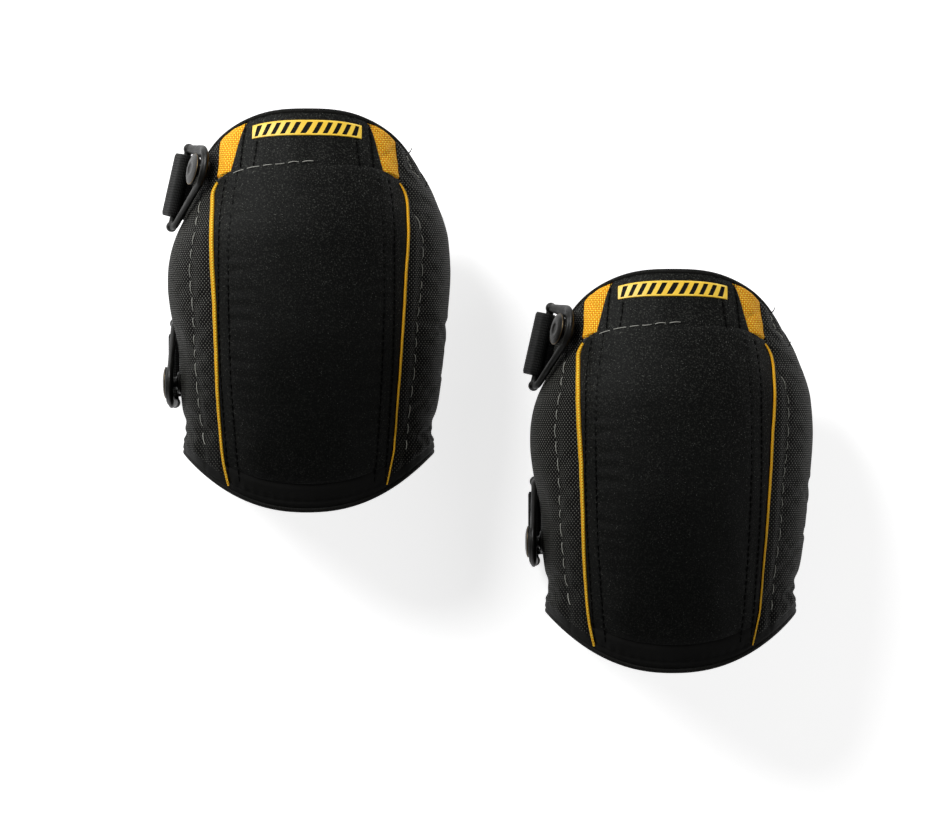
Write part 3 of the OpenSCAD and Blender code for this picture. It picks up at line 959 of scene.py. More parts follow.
def label():
    """A raised film with a row of dark slanted bars let into it, inside a plain border."""
    length = abs(float(arc_length(LABEL_ANGLE, 0.11)))
    height = (LABEL_V[1] - LABEL_V[0]) * PAD_RUN
    wide, high = LABEL_BORDER / length, LABEL_BORDER / height
    rim_s, rim_t = LABEL_RIM * wide, LABEL_RIM * high
    bars = np.linspace(-1, 1, LABEL_BARS * BAR_CELLS + 1) * (1 - wide)
    s = np.concatenate([[-1, -1 + rim_s], bars, [1 - rim_s, 1]])
    t = np.concatenate([[0, rim_t], np.linspace(high, 1 - high, BAR_ROWS + 1), [1 - rim_t, 1]])
    lean = LABEL_LEAN * (t - 0.5) * height / length * (1 - np.abs(s[:, None]) ** 8)
    angle = (s[:, None] * (1 + LABEL_SPREAD * (t - 0.5)) + lean) * LABEL_ANGLE
    y = along(angle, LABEL_V[0] + (LABEL_V[1] - LABEL_V[0]) * t[None, :])
    k, j = np.arange(len(s))[:, None] - 2, np.arange(len(t))[None, :] - 2
    within = (k >= 0) & (k < LABEL_BARS * BAR_CELLS) & (j >= 0) & (j < BAR_ROWS)
    column = k % BAR_CELLS
    dark = within & (column >= DARK_CELLS[0]) & (column < DARK_CELLS[1])
    lift = LABEL_LIFT - BAR_SINK * (dark & (j > 0) & (column > DARK_CELLS[0]))
    lift[[0, -1]] = lift[:, [0, -1]] = 0.0002
    mesh = closed_layer("label", angle, y, -lift, -0.0001)
    return two_looks(mesh, "label", "hem", dark[:-1, :-1])


# ---- wings and gussets ----

# Where each wing's pale running stitches run, as (y, x)
RUNNING = {
    -1: [
        (-0.082, 0.061), (-0.057, 0.0646), (-0.026, 0.067), (0.0006, 0.068), (0.0235, 0.070),
        (0.041, 0.068), (0.057, 0.0655), (0.080, 0.061),
    ],
    1: [
        (-0.084, 0.0588), (-0.057, 0.0612), (-0.035, 0.064), (-0.008, 0.0656), (0.018, 0.0683),
        (0.039, 0.069), (0.050, 0.0674), (0.0605, 0.062),
    ],
}
# A short run of pale stitches high on the strap-side wing
SHORT_RUN = [(0.079, 0.0672), (0.084, 0.0622), (0.094, 0.0585)]
WING_HEM = 0.024
WING_THICK = 0.0009
WING_BULGE = 0.0028
WING_GRID = (81, 181)
WING_SIM_GRID = (17, 51)
# Cloth within this many degrees of a row of running stitches is held down by it
ROW_HOLD = 2.1
# A notch in the wings' outline near the toe: its station, half length and depth
NOTCH = (-0.066, 0.004, 0.0014)
# Where the clips press the wing: station, half length and the angle where that begins
PRESSED = [(0.064, 0.034, 44), (-0.034, 0.030, 60)]
GUSSET_FROM = 0.805
GUSSET_THICK = 0.0006


def wing_start(v, side):
    """The wing's edge beside the cap, and beside the gusset above the shoulder."""
    beside_cap = cap_angle(v, side)
    beside_gusset = np.where(side < 0, WING_CURVE[-1](v), WING_CURVE[1](v))
    return beside_cap + (beside_gusset - beside_cap) * ease(clamp((v - 0.80) / 0.02)) + 0.5


def running_line(side):
    """Angle of a wing's running stitches at each station along the leg."""
    return row_angle(RUNNING[side], side)


def pressed(angle, y, side):
    """1 where the clips hold the button-side wing flat, and 0 elsewhere."""
    if side > 0:
        return np.zeros(y.shape)
    parts = [
        bump(y - at, reach) * clamp((np.abs(angle) - low) / 12) for at, reach, low in PRESSED
    ]
    return clamp(1.5 * np.maximum(*parts))


def wing_grid(side, s, v, end):
    """Angles and stations of a grid over a wing, with s running from the cap's edge to end."""
    start = wing_start(v, side)
    angle = side * (start + (end - start) * s[:, None])
    return angle, along(angle, v)


def wing_puff(side, s, t):
    """How far the wing's cloth swells out between its seams and its running stitches."""
    coarse_s, coarse_t = (np.linspace(0, 1, count) for count in WING_SIM_GRID)
    v = coarse_t[None, :] * np.ones((len(coarse_s), 1))
    angle, y = wing_grid(side, coarse_s, v, WING_END)
    pinned = np.abs(angle - running_line(side)(y)) < ROW_HOLD
    if side > 0:
        short_run = np.abs(angle - row_angle(SHORT_RUN, 1)(y)) < ROW_HOLD + 0.1
        pinned |= short_run & (y > SHORT_RUN[0][0] - PAST_ENDS)
    pinned[:1] = pinned[-1:] = True
    pinned[:, :2] = pinned[:, -1:] = True
    return spread(swelling(angle, y, pinned, slack=0.02, swell=0.0024), s, t)


def wing(side):
    s, t = crowded(WING_GRID[0], 0.6), crowded(WING_GRID[1], 0.4)
    v = -UNDER + (1 + 2 * UNDER) * t[None, :] * np.ones((len(s), 1))
    angle, y = wing_grid(side, s, v, WING_END + 1.2)
    run, low = arc_length(angle, y), np.abs(angle)
    row_in = np.abs(run - arc_length(running_line(side)(y), y))
    seam_in = np.abs(run) - np.abs(arc_length(side * wing_start(v, side), y))
    edge_in = (1 - s[:, None]) * 0.06
    hem_in = np.abs(v - WING_HEM) * 0.2
    free = 1 - pressed(angle, y, side)
    puff = wing_puff(side, s, t) * free * (1 - bump(row_in, 0.003))
    gather = 0.00022 * np.sin(y * 2 * np.pi / 0.0072 + 2 * np.sin(y * 90)) * bump(row_in, 0.004)
    pleats = 0.0003 * np.sin(run * 2 * np.pi / 0.011 + y * 60) * bump(v - WING_HEM - 0.03, 0.035)
    station, reach, deep = NOTCH
    notch = deep * bump(y - station + (low - 85) * 0.0002, reach) * clamp((low - 62) / 20)
    depth = 0.0004 * bump(row_in, 0.0009) + 0.0004 * bump(hem_in, 0.0008) - puff + notch
    depth = depth - clamp(np.minimum(seam_in, edge_in) / 0.004) * free * (gather + pleats)
    depth = np.maximum(depth, -WING_BULGE)
    depth = depth + 0.0005 * rounded(seam_in, 0.002) / 0.002 + under_binding(v)
    mesh = closed_layer("wing", angle, y, depth, np.maximum(depth, -0.002) + WING_THICK)
    two_looks(mesh, "weave", "hem", v[:-1, :-1] < WING_HEM - 0.002)
    return outward_mesh(mesh) if side < 0 else mesh


def gusset(side):
    s, t = np.linspace(0, 1, 41)[:, None], np.linspace(0, 1, 81)[None, :]
    v = GUSSET_FROM + (1 - GUSSET_FROM + UNDER) * t * np.ones_like(s)
    lo, hi = neck_angle(v) - 1.5, wing_start(v, side) + 1.2
    angle = side * (lo + (hi - lo) * s)
    y = along(angle, v)
    belly = np.sin(np.pi * s) ** 0.7
    under_cap = clamp((0.868 - v) / 0.012)
    station, deep = (0.094, 0.0006) if side > 0 else (0.099, 0.0003)
    crease = deep * bump(y - station - (np.abs(angle) - 50) * 0.0004, 0.0016) * belly
    wave = 0.00025 * np.sin(y * 420 + angle * 0.5) * belly
    depth = 0.0009 - 0.0011 * belly * (1 - under_cap) + 0.0012 * under_cap + crease - wave
    depth = depth + under_binding(v)
    mesh = closed_layer("gusset", angle, y, depth, depth + GUSSET_THICK)
    return outward_mesh(mesh) if side < 0 else mesh


# The piping's radius by its place along the pad, and what it is scaled and widened by
PIPING_R = [
    (0, 0.0006), (0.02, 0.0008), (0.12, 0.0009), (0.35, 0.00125), (0.6, 0.00145),
    (0.82, 0.00145), (0.845, 0.0009),
]
PIPING_SIZE = {-1: (0.95, 1.1), 1: (0.58, 1.05)}


def piping(side):
    v = np.linspace(0.003, PIPING_R[-1][0], 170)
    turn_in = clamp((v - 0.805) / 0.04)
    angle = side * (cap_angle(v, side) + 0.5 - 3.6 * turn_in**2)
    y = along(angle, v)
    sway = 0.00009 * np.sin(y * 140 + side) + 0.00004 * np.sin(y * 431)
    scale, flat = PIPING_SIZE[side]
    radius = scale * np.interp(v, *zip(*PIPING_R))
    path = skin(angle + sway / RUN_PER_DEGREE, y)
    return tube("piping", path, normal(angle, y), radius, 16, flat=flat)


BINDING_R = 0.0018
BINDING_OUT = 0.0021
BINDING_DEPTH = 0.0019


def binding_path():
    """The closed line of the rolled edge: toe, strap wing, thigh, button wing."""
    a = np.linspace(-WING_END, WING_END, 150)
    toe = skin(a, toe_y(a) + BINDING_GAP - BINDING_OUT, BINDING_DEPTH)
    toe_up = normal(a, toe_y(a) + 0.004)
    b = a[::-1]
    thigh = skin(b, thigh_y(b) + (BINDING_OUT - BINDING_GAP) * aslant(b), BINDING_DEPTH)
    thigh_up = normal(b, thigh_y(b) - 0.004)
    v = np.linspace(0.012, 0.988, 110)
    drop = np.array([0, 0, BINDING_OUT])
    y = along(WING_END, v)
    edge = {k: skin(k * WING_END, y, BINDING_DEPTH + 0.0003) - drop for k in (-1, 1)}
    edge_up = {k: normal(k * (WING_END - 1), y) for k in (-1, 1)}
    for line in (toe, thigh):
        line[0] -= drop
        line[-1] -= drop
    path = np.concatenate([toe, edge[1], thigh, edge[-1][::-1]])
    up = np.concatenate([toe_up, edge_up[1], thigh_up, edge_up[-1][::-1]])
    for _ in range(6):
        path = (np.roll(path, 1, 0) + 2 * path + np.roll(path, -1, 0)) / 4
        up = (np.roll(up, 1, 0) + 2 * up + np.roll(up, -1, 0)) / 4
    return path, up


def edge_binding():
    return tube("edge_binding", *binding_path(), BINDING_R, 12, closed=True)


# ---- stitches ----

# [length, gap, radius, lift]
DARK_STITCH = (0.0030, 0.0012, 0.00032, 0.0001)
LIGHT_STITCH = (0.0064, 0.0034, 0.00024, 0.0006)
SHORT_STITCH = (0.0036, 0.0012, 0.0003, 0.0009)


def stitches(angle_at, y_lo, y_hi, size, wander=0.0):
    """A row of raised thread stitches along a line on the pad."""
    stitch, gap, radius, lift = size
    found = []
    y = y_lo
    while y < y_hi:
        length = stitch * (1 + wander * random.uniform(-0.3, 0.3))
        t = np.linspace(0, 1, 7)
        ys = y + length * t
        shift = wander * random.uniform(-0.4, 0.4)
        angles = angle_at(ys) + shift * (1 - 2 * t)
        rise = lift * np.sin(np.pi * t) ** 0.5 - 0.4 * lift
        found.append(tube("stitch", skin(angles, ys, -rise), normal(angles, ys), radius, 6))
        y += length + gap * (1 + wander * random.uniform(-0.3, 0.5))
    return joined("stitches", found)


def dark_rows():
    rows = []
    for side in (-1, 1):
        for row in CAP_ROWS + NECK_ROWS:
            lo, hi = max(row[0][0], -0.104) + 0.002, row[-1][0] - 0.004
            rows.append(stitches(row_angle(row, side), lo, hi, DARK_STITCH))
    return joined("cap_stitches", rows)


def light_rows():
    rows = [
        stitches(running_line(side), lo, 0.060, LIGHT_STITCH, wander=1.0)
        for side, lo in ((-1, -0.080), (1, -0.083))
    ]
    rows.append(stitches(row_angle(SHORT_RUN, 1), 0.0795, 0.0925, SHORT_STITCH, wander=0.6))
    return joined("running_stitches", rows)


def loose_threads():
    """Cut thread ends that stand up from the strap-side wing."""
    found = []
    t = np.linspace(0, 1, 7)[:, None]
    # (x, y, reach)
    for x, y, reach in ((0.061, 0.095, 0.0026), (0.0698, 0.0735, 0.0034), (0.0795, -0.047, 0.0022)):
        angle = angle_of(x, y)
        path = skin(angle, y, 0.0006) + normal(angle, y) * reach * t
        path = path + np.array([-0.2, 0.8, 0.1]) * reach * t**2
        found.append(tube("thread", path, (1, 0, 0.3), 0.0004 - 0.0002 * t[:, 0], 6))
    return joined("loose_threads", found)


# The line of pale stitches over the shoulder seam, as (x, y)
SHOULDER_ROW = [(-0.0435, 0.0816), (-0.033, 0.0847), (-0.015, 0.0869), (0.006, 0.0886)]


def shoulder_stitches():
    """Pale slack stitches over the seam between cap and neck."""
    found = []
    row_y = smooth_curve(SHOULDER_ROW)
    t = np.linspace(0, 1, 8)
    x = SHOULDER_ROW[0][0]
    while x < SHOULDER_ROW[-1][0] - 0.004:
        reach = 0.0062 * random.uniform(0.8, 1.2)
        xs = x + reach * t
        ys = row_y(xs) + 0.0006 * np.sin(np.pi * t) * random.uniform(-0.4, 1)
        angle = angle_of(xs, ys)
        path = skin(angle, ys, -0.0004 - 0.0006 * np.sin(np.pi * t))
        found.append(tube("stitch", path, normal(angle, ys), 0.00022, 6))
        x += reach + 0.0022
    return joined("shoulder_stitches", found)


# ---- padding ----

# Depths of the layers' tops and undersides
CORE = (0.0013, 0.0093)
COMFORT_LOW = 0.0166
LINING = (0.0167, 0.0177)
LAYER_GAP = 0.0001
GEL_T = 0.0035
GEL_V = (0.33, 0.75)
# Columns of the padding from the crown to the wings' start and to their edges
WING_COL = 5.5
EDGE_COL = 13
GEL_COL = 4
# How full the padding still is at its bound edge
BOUND_K = 0.12
PADDING_GRID = (91, 121)
DOME_PITCH = 0.009
DOME_H = 0.0004


def all_round(n, m):
    """A grid over the whole pad, and how full the padding is towards its bound edge."""
    col = np.linspace(-EDGE_COL, EDGE_COL, n)[:, None]
    v = np.linspace(0, 1, m)[None, :] * np.ones_like(col)
    c = np.abs(col)
    wing = wing_start(np.minimum(v, 0.8), col) + 0.5
    past = (c - WING_COL) / (EDGE_COL - WING_COL)
    angle = np.sign(col) * np.where(past <= 0, wing * c / WING_COL, wing + (WING_END - wing) * past)
    from_wing_edge = (EDGE_COL - c) / 1.6 + 0 * v
    inward = np.minimum.reduce([np.ones_like(v), v / 0.12, (1 - v) / 0.13, from_wing_edge])
    return col, v, angle, along(angle, v), BOUND_K + (1 - BOUND_K) * inward


def padding_layer(name, top, low):
    """A layer between two depths, each a number or a function of the column and place."""
    col, v, angle, y, full = all_round(*PADDING_GRID)
    depths = (depth(col, v) if callable(depth) else depth for depth in (top, low))
    top, low = (FACE_T + (depth - FACE_T) * full for depth in depths)
    return closed_layer(name, angle, y, top, low)


def gel_swell(col, v):
    """The gel's thickness, from none outside its border to full inside."""
    across = clamp((GEL_COL + 0.1 - np.abs(col)) / 0.9)
    lengthwise = clamp(np.minimum(v - GEL_V[0] + 0.005, GEL_V[1] - v + 0.005) / 0.05)
    return GEL_T * ease(across * lengthwise)


def comfort_top(col, v):
    swell = gel_swell(col, v)
    return CORE[1] + LAYER_GAP + np.where(swell > 0, swell + LAYER_GAP, 0)


def gel_insert():
    col = np.linspace(-GEL_COL, GEL_COL, 61)[:, None]
    v = GEL_V[0] + (GEL_V[1] - GEL_V[0]) * np.linspace(0, 1, 71)[None, :] * np.ones_like(col)
    angle = (wing_start(v, col) + 0.5) * col / WING_COL
    y = along(angle, v)
    # Small domes moulded into its face
    run = arc_length(angle, y)
    domes = np.cos(run * 2 * np.pi / DOME_PITCH) * np.cos(y * 2 * np.pi / DOME_PITCH)
    swell = gel_swell(col, v)
    thick = np.maximum(0.0005, swell - 0.0003 + DOME_H * domes * clamp(swell / GEL_T))
    top = CORE[1] + LAYER_GAP
    return closed_layer("gel_insert", angle, y, top, top + thick)


# ---- fasteners ----

# (angle round the leg, station, azimuth, tilt above the floor, which way the long arm points)
FASTENERS = {"upper": (-64, 0.083, 167.4, 20, 1), "lower": (-86, -0.043, 180, -2, -1)}
BUTTON_R = 0.0095
HEAD_LOW = 0.0069
HEAD_T = 0.0033
RIM_R = 0.00925
RIM_UP = 0.0016
RIM_T = 0.00028
CLIP_UP = 0.0049
ROD_R = 0.0020
ROD_POINTS = 120
BAR_R = 0.0023
NOSE_R = 0.0116
LIP_R = 0.0130
LIP_T = 0.0014
LIP_UP = 0.0015
BAR_X = 0.027
BAR_LO, BAR_HI = -0.012, 0.036
# The strap runs a little nearer to the short arm than the bar's middle
STRAP_MID = 0.0108
KNOB_R = 0.0033
CLIP_VOXEL = 0.00042


def fastener_frame(name):
    """Local X along the pull, Y towards the toe, Z out of the wing, at the button's foot."""
    angle, y, azimuth, tilt = FASTENERS[name][:4]
    foot = skin(np.array(float(angle)), np.array(y))
    az, up = math.radians(azimuth), math.radians(tilt)
    outward = Vector((math.cos(up) * math.cos(az), math.cos(up) * math.sin(az), math.sin(up)))
    pull = Vector((math.sin(up) * math.cos(az), math.sin(up) * math.sin(az), -math.cos(up)))
    toeward = Vector((-math.sin(az), math.cos(az), 0))
    turn = Matrix((pull, toeward, outward)).transposed().to_4x4()
    return Matrix.Translation(Vector([float(c) for c in foot])) @ turn


def lathe(name, profile, sides=72):
    """A closed turned body from a profile of (radius, height), starting and ending on the axis."""
    rings = [circle(r, full_turn(sides), z) for r, z in profile[1:-1]]
    count = len(rings)
    points = np.concatenate(rings + [[[0, 0, profile[0][1]], [0, 0, profile[-1][1]]]])
    first, last, top = len(points) - 2, len(points) - 1, (count - 1) * sides
    faces = ring_faces(count, sides)
    faces += [(first, (s + 1) % sides, s) for s in range(sides)]
    faces += [(last, top + s, top + (s + 1) % sides) for s in range(sides)]
    return outward_mesh(new_mesh(name, points, faces, points[:, :2], sharp=50))


def button_mesh():
    top = HEAD_LOW + HEAD_T
    crown = 0.0013
    dome = [
        (BUTTON_R * math.cos(a), HEAD_LOW + crown + (HEAD_T - crown) * math.sin(a))
        for a in np.radians(np.arange(0, 66, 6))
    ]
    dish = [(0.0034, top - 0.00035), (0.0030, top - 0.0007), (0.0012, top - 0.0008)]
    profile = [
        (0, -0.0010), (0.0062, -0.0010), (0.0065, -0.0007), (0.0065, 0.0007), (0.0061, 0.0011),
        (0.0045, 0.00125), (0.0036, 0.0017), (0.0034, 0.0022), (0.0034, 0.0064),
        (0.0037, 0.0068), (0.0045, HEAD_LOW), (0.0086, HEAD_LOW), (0.0091, HEAD_LOW + 0.0001),
        (0.00945, HEAD_LOW + 0.0005),
    ]
    return lathe("button", profile + dome + dish + [(0, top - 0.0008)])


def rivet_ring():
    """The eyelet's thin brass rim round the button's head."""
    path = circle(RIM_R, full_turn(72), HEAD_LOW + RIM_UP)
    return tube("rivet", path, UP, RIM_T, 8, closed=True)


def clip_mesh():
    ends = [[BAR_X, BAR_LO, 0], [BAR_X, BAR_HI, 0]]
    shoulder = np.array([BAR_X - 0.007, BAR_HI - 0.001, 0])
    leave = math.atan2(shoulder[1], shoulder[0]) + math.acos(NOSE_R / np.linalg.norm(shoulder))
    nose = circle(NOSE_R, np.linspace(math.radians(270), leave, 48))
    line = np.concatenate([ends[:1], nose, [shoulder], ends[1:]])
    run = run_along(line)
    at = np.linspace(0, run[-1], ROD_POINTS)
    # The rod broadens round the nose
    broad = 1.2 + 0.85 * bump(at - run[1 + len(nose) // 2] + 0.006, 0.023)
    rod = tube("rod", relaxed(resampled(line, at), 8), UP, ROD_R, 20, flat=broad)
    # The nose is a cup: a raised lip runs round it, outside the button's head
    lip_r = LIP_T * np.sin(np.pi * np.linspace(0.04, 0.96, 48)) ** 0.4
    lip_path = circle(LIP_R, np.linspace(math.radians(262), leave + 0.12, 48), LIP_UP)
    lip = tube("lip", lip_path, UP, lip_r, 14)
    bar = tube("bar", np.linspace(*ends, 20), UP, BAR_R, 16)
    bm = bmesh.new()
    for end in ends:
        knob = bmesh.ops.create_icosphere(bm, subdivisions=3, radius=KNOB_R)["verts"]
        bmesh.ops.translate(bm, verts=knob, vec=end)
    knobs = bpy.data.meshes.new("knobs")
    bm.to_mesh(knobs)
    bm.free()
    return fused(joined("clip", [rod, lip, bar, knobs]))


def turned_over(mesh):
    """The same clip with its long arm on the other side."""
    mesh = mesh.copy()
    mesh.transform(Matrix.Scale(-1, 4, (0, 1, 0)))
    mesh.flip_normals()
    return mesh


def fused(mesh):
    """One moulded body from overlapping ones: remeshed finely, with its joins smoothed."""
    obj = put("clip", mesh)
    remesh = obj.modifiers.new("remesh", "REMESH")
    remesh.mode = "VOXEL"
    remesh.voxel_size = CLIP_VOXEL
    soften = obj.modifiers.new("soften", "SMOOTH")
    soften.factor, soften.iterations = 0.6, 6
    return smooth(applied(obj))


# ---- straps and sliders ----

STRAP_W = 0.038
STRAP_T = 0.0016
# Heights of the strap's two runs along the floor
LOW_Z = 0.0008
HIGH_Z = 0.0027
WRAP_R = 0.00335
# How far the strap hangs from the bar before it curves: the outer run as a share of the
# bar's height, and the inner run
OUTER_DROP = 0.24
INNER_DROP = 0.002
STRAP_END = -0.156
STRAP_FOLD = 0.020
SLIDER_REACH = 0.052
SLIDER_Z = 0.0038
SLIDER_T = 0.0022
SLIDER_L = 0.026
SLIDER_W = 0.046
SLIDER_CORNER = 0.003
SLIDER_BEVEL = 0.0006
MID_BAR = 0.004
SLOT_L = 0.007
WEBBING_STEP = 0.0008
SELVEDGE = 0.95


def arc(centre, radius, start, end, steps):
    turn = np.radians(np.linspace(start, end, steps))
    return [tuple(centre + radius * np.array([np.cos(a), np.sin(a)])) for a in turn]


def strap_line(bar_z, tilt):
    """The strap's line out from under the pad, up to the bar, round it and back to the floor."""
    t = math.radians(tilt)
    out, down = np.array([math.cos(t), math.sin(t)]), np.array([math.sin(t), -math.cos(t)])
    bar = np.array([0, bar_z])
    drop = OUTER_DROP * bar_z
    top, back = bar + WRAP_R * out, bar - WRAP_R * out
    outer_r = (top[1] - math.cos(t) * drop - LOW_Z) / (1 + math.sin(t))
    outer_c = top + drop * down - outer_r * out
    inner_r = (back[1] - math.cos(t) * INNER_DROP - HIGH_Z) / (1 + math.sin(t))
    inner_c = back + INNER_DROP * down - inner_r * out
    fold_c = np.array([STRAP_END + 0.001, (LOW_Z + HIGH_Z) / 2])
    line = [(STRAP_END + STRAP_FOLD, HIGH_Z)] + arc(fold_c, (HIGH_Z - LOW_Z) / 2, 90, 270, 9)
    line += arc(outer_c, outer_r, -90, tilt, 30) + arc(bar, WRAP_R, tilt, tilt + 180, 24)
    return line + arc(inner_c, inner_r, tilt, -90, 24) + [(JOIN_X, HIGH_Z)]


JOIN_X = -SLIDER_REACH + 0.024


def slider_line():
    """The strap's free end: over the slider's middle bar and out behind it."""
    s, half = -SLIDER_REACH, MID_BAR / 2
    hump = SLIDER_Z + SLIDER_T + 0.00025 + STRAP_T / 2
    into, rise = half + SLOT_L - 0.0002, half + 0.0022
    return [
        (JOIN_X, HIGH_Z), (s + into, HIGH_Z), (s + rise, hump - 0.0016), (s + half, hump),
        (s, hump + 0.0002), (s - half, hump), (s - rise, hump - 0.0016), (s - into, HIGH_Z),
        (s - SLIDER_L / 2 - 0.008, HIGH_Z),
    ]


def webbing(name, line):
    """A flat ribbon of webbing along a line in its X-Z plane, with rolled selvedges."""
    line = np.array(line)
    length = run_along(line)[-1]
    n = int(length / WEBBING_STEP)
    at = np.linspace(0, length, n)
    path = relaxed(resampled(line, at), 4)
    step = unit(np.gradient(path, axis=0))
    side = np.stack([-step[:, 1], step[:, 0]], -1)
    across = np.concatenate([np.linspace(-1, 1, 25), np.linspace(1, -1, 25)])
    edge = np.sqrt(clamp(1 - clamp((np.abs(across) - SELVEDGE) / (1 - SELVEDGE)) ** 2))
    half = np.repeat([1, -1], 25) * STRAP_T / 2 * (0.25 + 0.75 * edge)
    ring = len(across)
    points = np.empty((n, ring, 3))
    points[..., [0, 2]] = path[:, None] + side[:, None] * half[:, None]
    points[..., 1] = across * STRAP_W / 2
    faces = ring_faces(n, ring) + end_faces(n, ring)
    uv = np.stack(np.broadcast_arrays(across[None, :] * STRAP_W / 2, at[:, None]), -1)
    return outward_mesh(new_mesh(name, points.reshape(-1, 3), faces, uv.reshape(-1, 2), sharp=55))


def slider_mesh():
    """A tri-glide: a rounded plate with two slots, softened along every edge."""
    curve = bpy.data.curves.new("slider", "CURVE")
    curve.dimensions = "2D"
    curve.fill_mode = "BOTH"
    slot_x = (MID_BAR + SLOT_L) / 2
    outlines = [rounded_box(0, SLIDER_L / 2, SLIDER_W / 2, SLIDER_CORNER)]
    slot_half = (STRAP_W + 0.001) / 2
    outlines += [rounded_box(x, SLOT_L / 2, slot_half, 0.001) for x in (-slot_x, slot_x)]
    for outline in outlines:
        spline = curve.splines.new("POLY")
        spline.points.add(len(outline) - 1)
        for point, (x, y) in zip(spline.points, outline):
            point.co = (x, y, 0, 1)
        spline.use_cyclic_u = True
    curve.offset = -SLIDER_BEVEL
    curve.bevel_depth = SLIDER_BEVEL
    curve.bevel_resolution = 3
    curve.extrude = SLIDER_T / 2 - SLIDER_BEVEL
    mesh = outward_mesh(applied(put("slider", curve)), weld=1e-6)
    mesh.transform(Matrix.Translation((0, 0, SLIDER_T / 2)))
    smooth(mesh).set_sharp_from_angle(angle=math.radians(35))
    return mesh


def rounded_box(x, half_l, half_w, corner):
    points = []
    for sx, sy, start in ((1, 1, 0), (-1, 1, 90), (-1, -1, 180), (1, -1, 270)):
        centre = np.array([x + sx * (half_l - corner), sy * (half_w - corner)])
        points += arc(centre, corner, start, start + 90, 7)
    return points


def bar_frame(name):
    """Local X outward along the floor and Z up, below the middle of a clip's bar."""
    bar = fastener_frame(name) @ Vector((BAR_X, FASTENERS[name][4] * STRAP_MID, CLIP_UP))
    turn = Matrix.Rotation(math.radians(FASTENERS[name][2]), 4, "Z")
    return Matrix.Translation(Vector((bar.x, bar.y, 0))) @ turn, bar.z


def place_fastener(name, parts):
    """A clip on its button, with its strap and slider, on both pads."""
    arm = FASTENERS[name][4]
    at = fastener_frame(name)
    bar_at, bar_z = bar_frame(name)
    clip_at = at @ Matrix.Translation((0, 0, CLIP_UP))
    slider_at = bar_at @ Matrix.Translation((-SLIDER_REACH, 0, SLIDER_Z))
    strap = webbing("strap", strap_line(bar_z, FASTENERS[name][3]))
    tail = webbing("strap_tail", slider_line())
    # (piece, mesh, look, slot, node, body, place)
    pieces = [
        ("button_head", parts["button"], "button", "button_plastic", "button", "pad", at),
        ("button_rim", parts["ring"], "brass", "button_plastic", None, "pad", at),
        ("clip_frame", parts[arm], "clip", "clip_plastic", "clip", "clip", clip_at),
        ("slider_frame", parts["slider"], "slider", "slider_plastic", "slider", "slider", slider_at),
        ("strap_band", strap, "strap", "elastic_webbing", "strap", None, bar_at),
        ("strap_end", tail, "strap", "elastic_webbing", None, None, bar_at),
    ]
    for side in SIDES:
        for piece, mesh, look, slot, node, body, place in pieces:
            # A blended piece needs a mesh of its own
            mesh = mesh if body else mesh.copy()
            body = f"{name}_{body}" if body in ("clip", "slider") else body
            node = node and f"{name}_{node}"
            add_piece(side, f"{name}_{piece}", mesh, look, node, body, place)
        band = bpy.data.objects[f"{side}_{name}_strap_band"]
        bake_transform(band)
        end = bpy.data.objects[f"{side}_{name}_strap_end"]
        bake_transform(end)


def place_fasteners():
    clip = clip_mesh()
    parts = {1: clip, -1: turned_over(clip)}
    parts.update(button=button_mesh(), ring=rivet_ring(), slider=slider_mesh())
    for name in FASTENERS:
        place_fastener(name, parts)


# ---- the pads ----


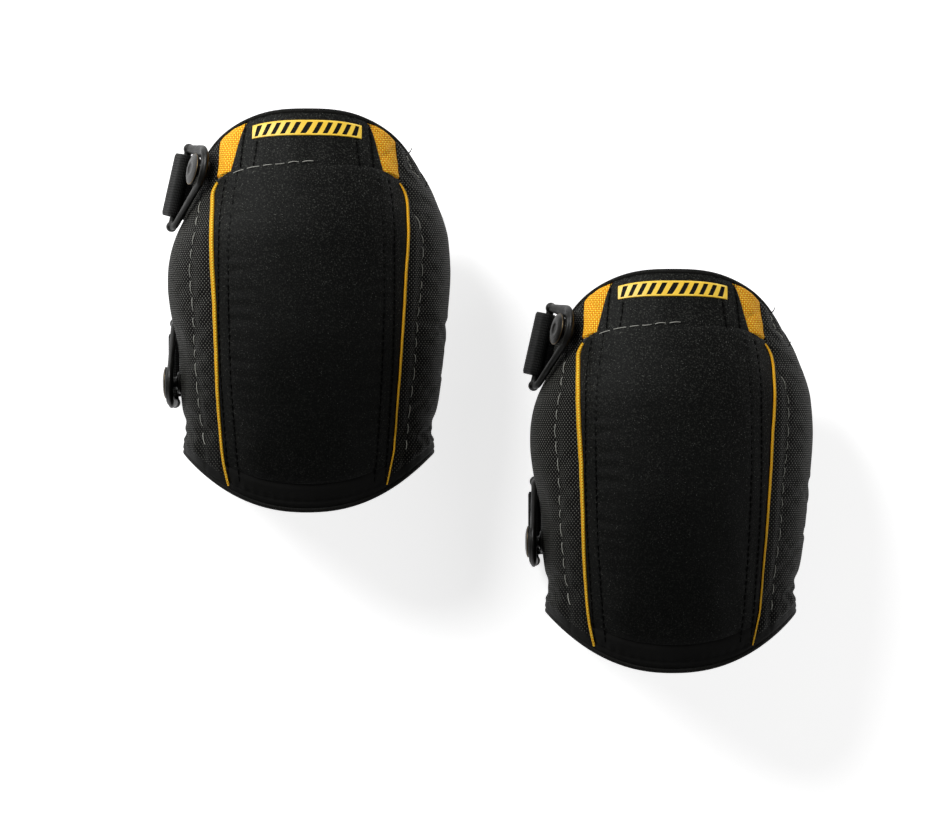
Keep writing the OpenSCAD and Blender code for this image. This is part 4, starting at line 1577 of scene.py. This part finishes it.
def build_pads():
    caps = add_both("cap_cover", cap_panel(), "cap", "cap_panel")
    add_both("neck_cover", neck_panel(), "cap", "neck_panel")
    add_both("toe_hem_cover", toe_hem(), "hem", "toe_hem")
    add_both("label_film", label(), "label", "label")
    wings = []
    for side, word in ((-1, "button"), (1, "strap")):
        wings += add_both(f"{word}_wing_cover", wing(side), "weave", f"{word}_wing")
        part = f"{word}_side_gusset"
        add_both(f"{part}_cover", gusset(side), "gusset", part)
        part = f"{word}_side_piping"
        add_both(f"{part}_cord", piping(side), "piping", part)
    add_both("bound_edge", edge_binding(), "binding", "edge_binding")
    add_both("cap_stitches", dark_rows(), "dark_thread")
    add_both("running_stitches", light_rows(), "light_thread")
    add_both("shoulder_stitches", shoulder_stitches(), "light_thread")
    add_both("loose_threads", loose_threads(), "dark_thread")
    core = padding_layer("core", *CORE)
    cores = add_both("core_padding", core, "core", "foam_core")
    gels = add_both("gel_pad", gel_insert(), "gel", "gel_insert")
    comfort = padding_layer("comfort", comfort_top, COMFORT_LOW)
    soft = add_both("comfort_padding", comfort, "comfort", "comfort_foam")
    add_both("lining_cloth", padding_layer("lining", *LINING), "lining", "lining")


build_pads()
place_fasteners()


# ---- floor, light and camera ----

VIEW_CENTRE = Vector((-0.0055, -0.0155, 0.05))
VIEW_WIDTH = 0.570
VIEW_DISTANCE = 4.0
AIM = Vector((0, 0, 0.05))
FLOOR_Z = -0.0002


def stage():
    bpy.ops.mesh.primitive_plane_add(size=12, location=(0, 0, FLOOR_Z))
    floor = bpy.context.object
    floor.name = "floor"
    floor.data.materials.append(paper_floor())


def area_light(name, place, size, power):
    lamp = bpy.data.lights.new(name, "AREA")
    lamp.shape, lamp.size, lamp.energy = "DISK", size, power
    obj = put(name, lamp)
    obj.location = place
    obj.rotation_euler = (AIM - Vector(place)).to_track_quat("-Z", "Y").to_euler()


def light_and_camera():
    scene = bpy.context.scene
    world = bpy.data.worlds.new("studio")
    world.use_nodes = True
    background = world.node_tree.nodes["Background"]
    background.inputs["Color"].default_value = (1, 1, 1, 1)
    background.inputs["Strength"].default_value = 0.06
    scene.world = world
    area_light("key", (-1.9, 2.0, 1.55), 1.8, 115)
    area_light("fill", (2.0, -0.2, 1.6), 1.6, 12)
    lens = bpy.data.cameras.new("camera")
    lens.sensor_width = 36
    lens.lens = lens.sensor_width * VIEW_DISTANCE / VIEW_WIDTH
    lens.clip_end = 30
    camera = put("camera", lens)
    camera.location = VIEW_CENTRE + Vector((0, 0, VIEW_DISTANCE))
    scene.camera = camera
    scene.view_settings.view_transform = "Standard"


stage()
light_and_camera()
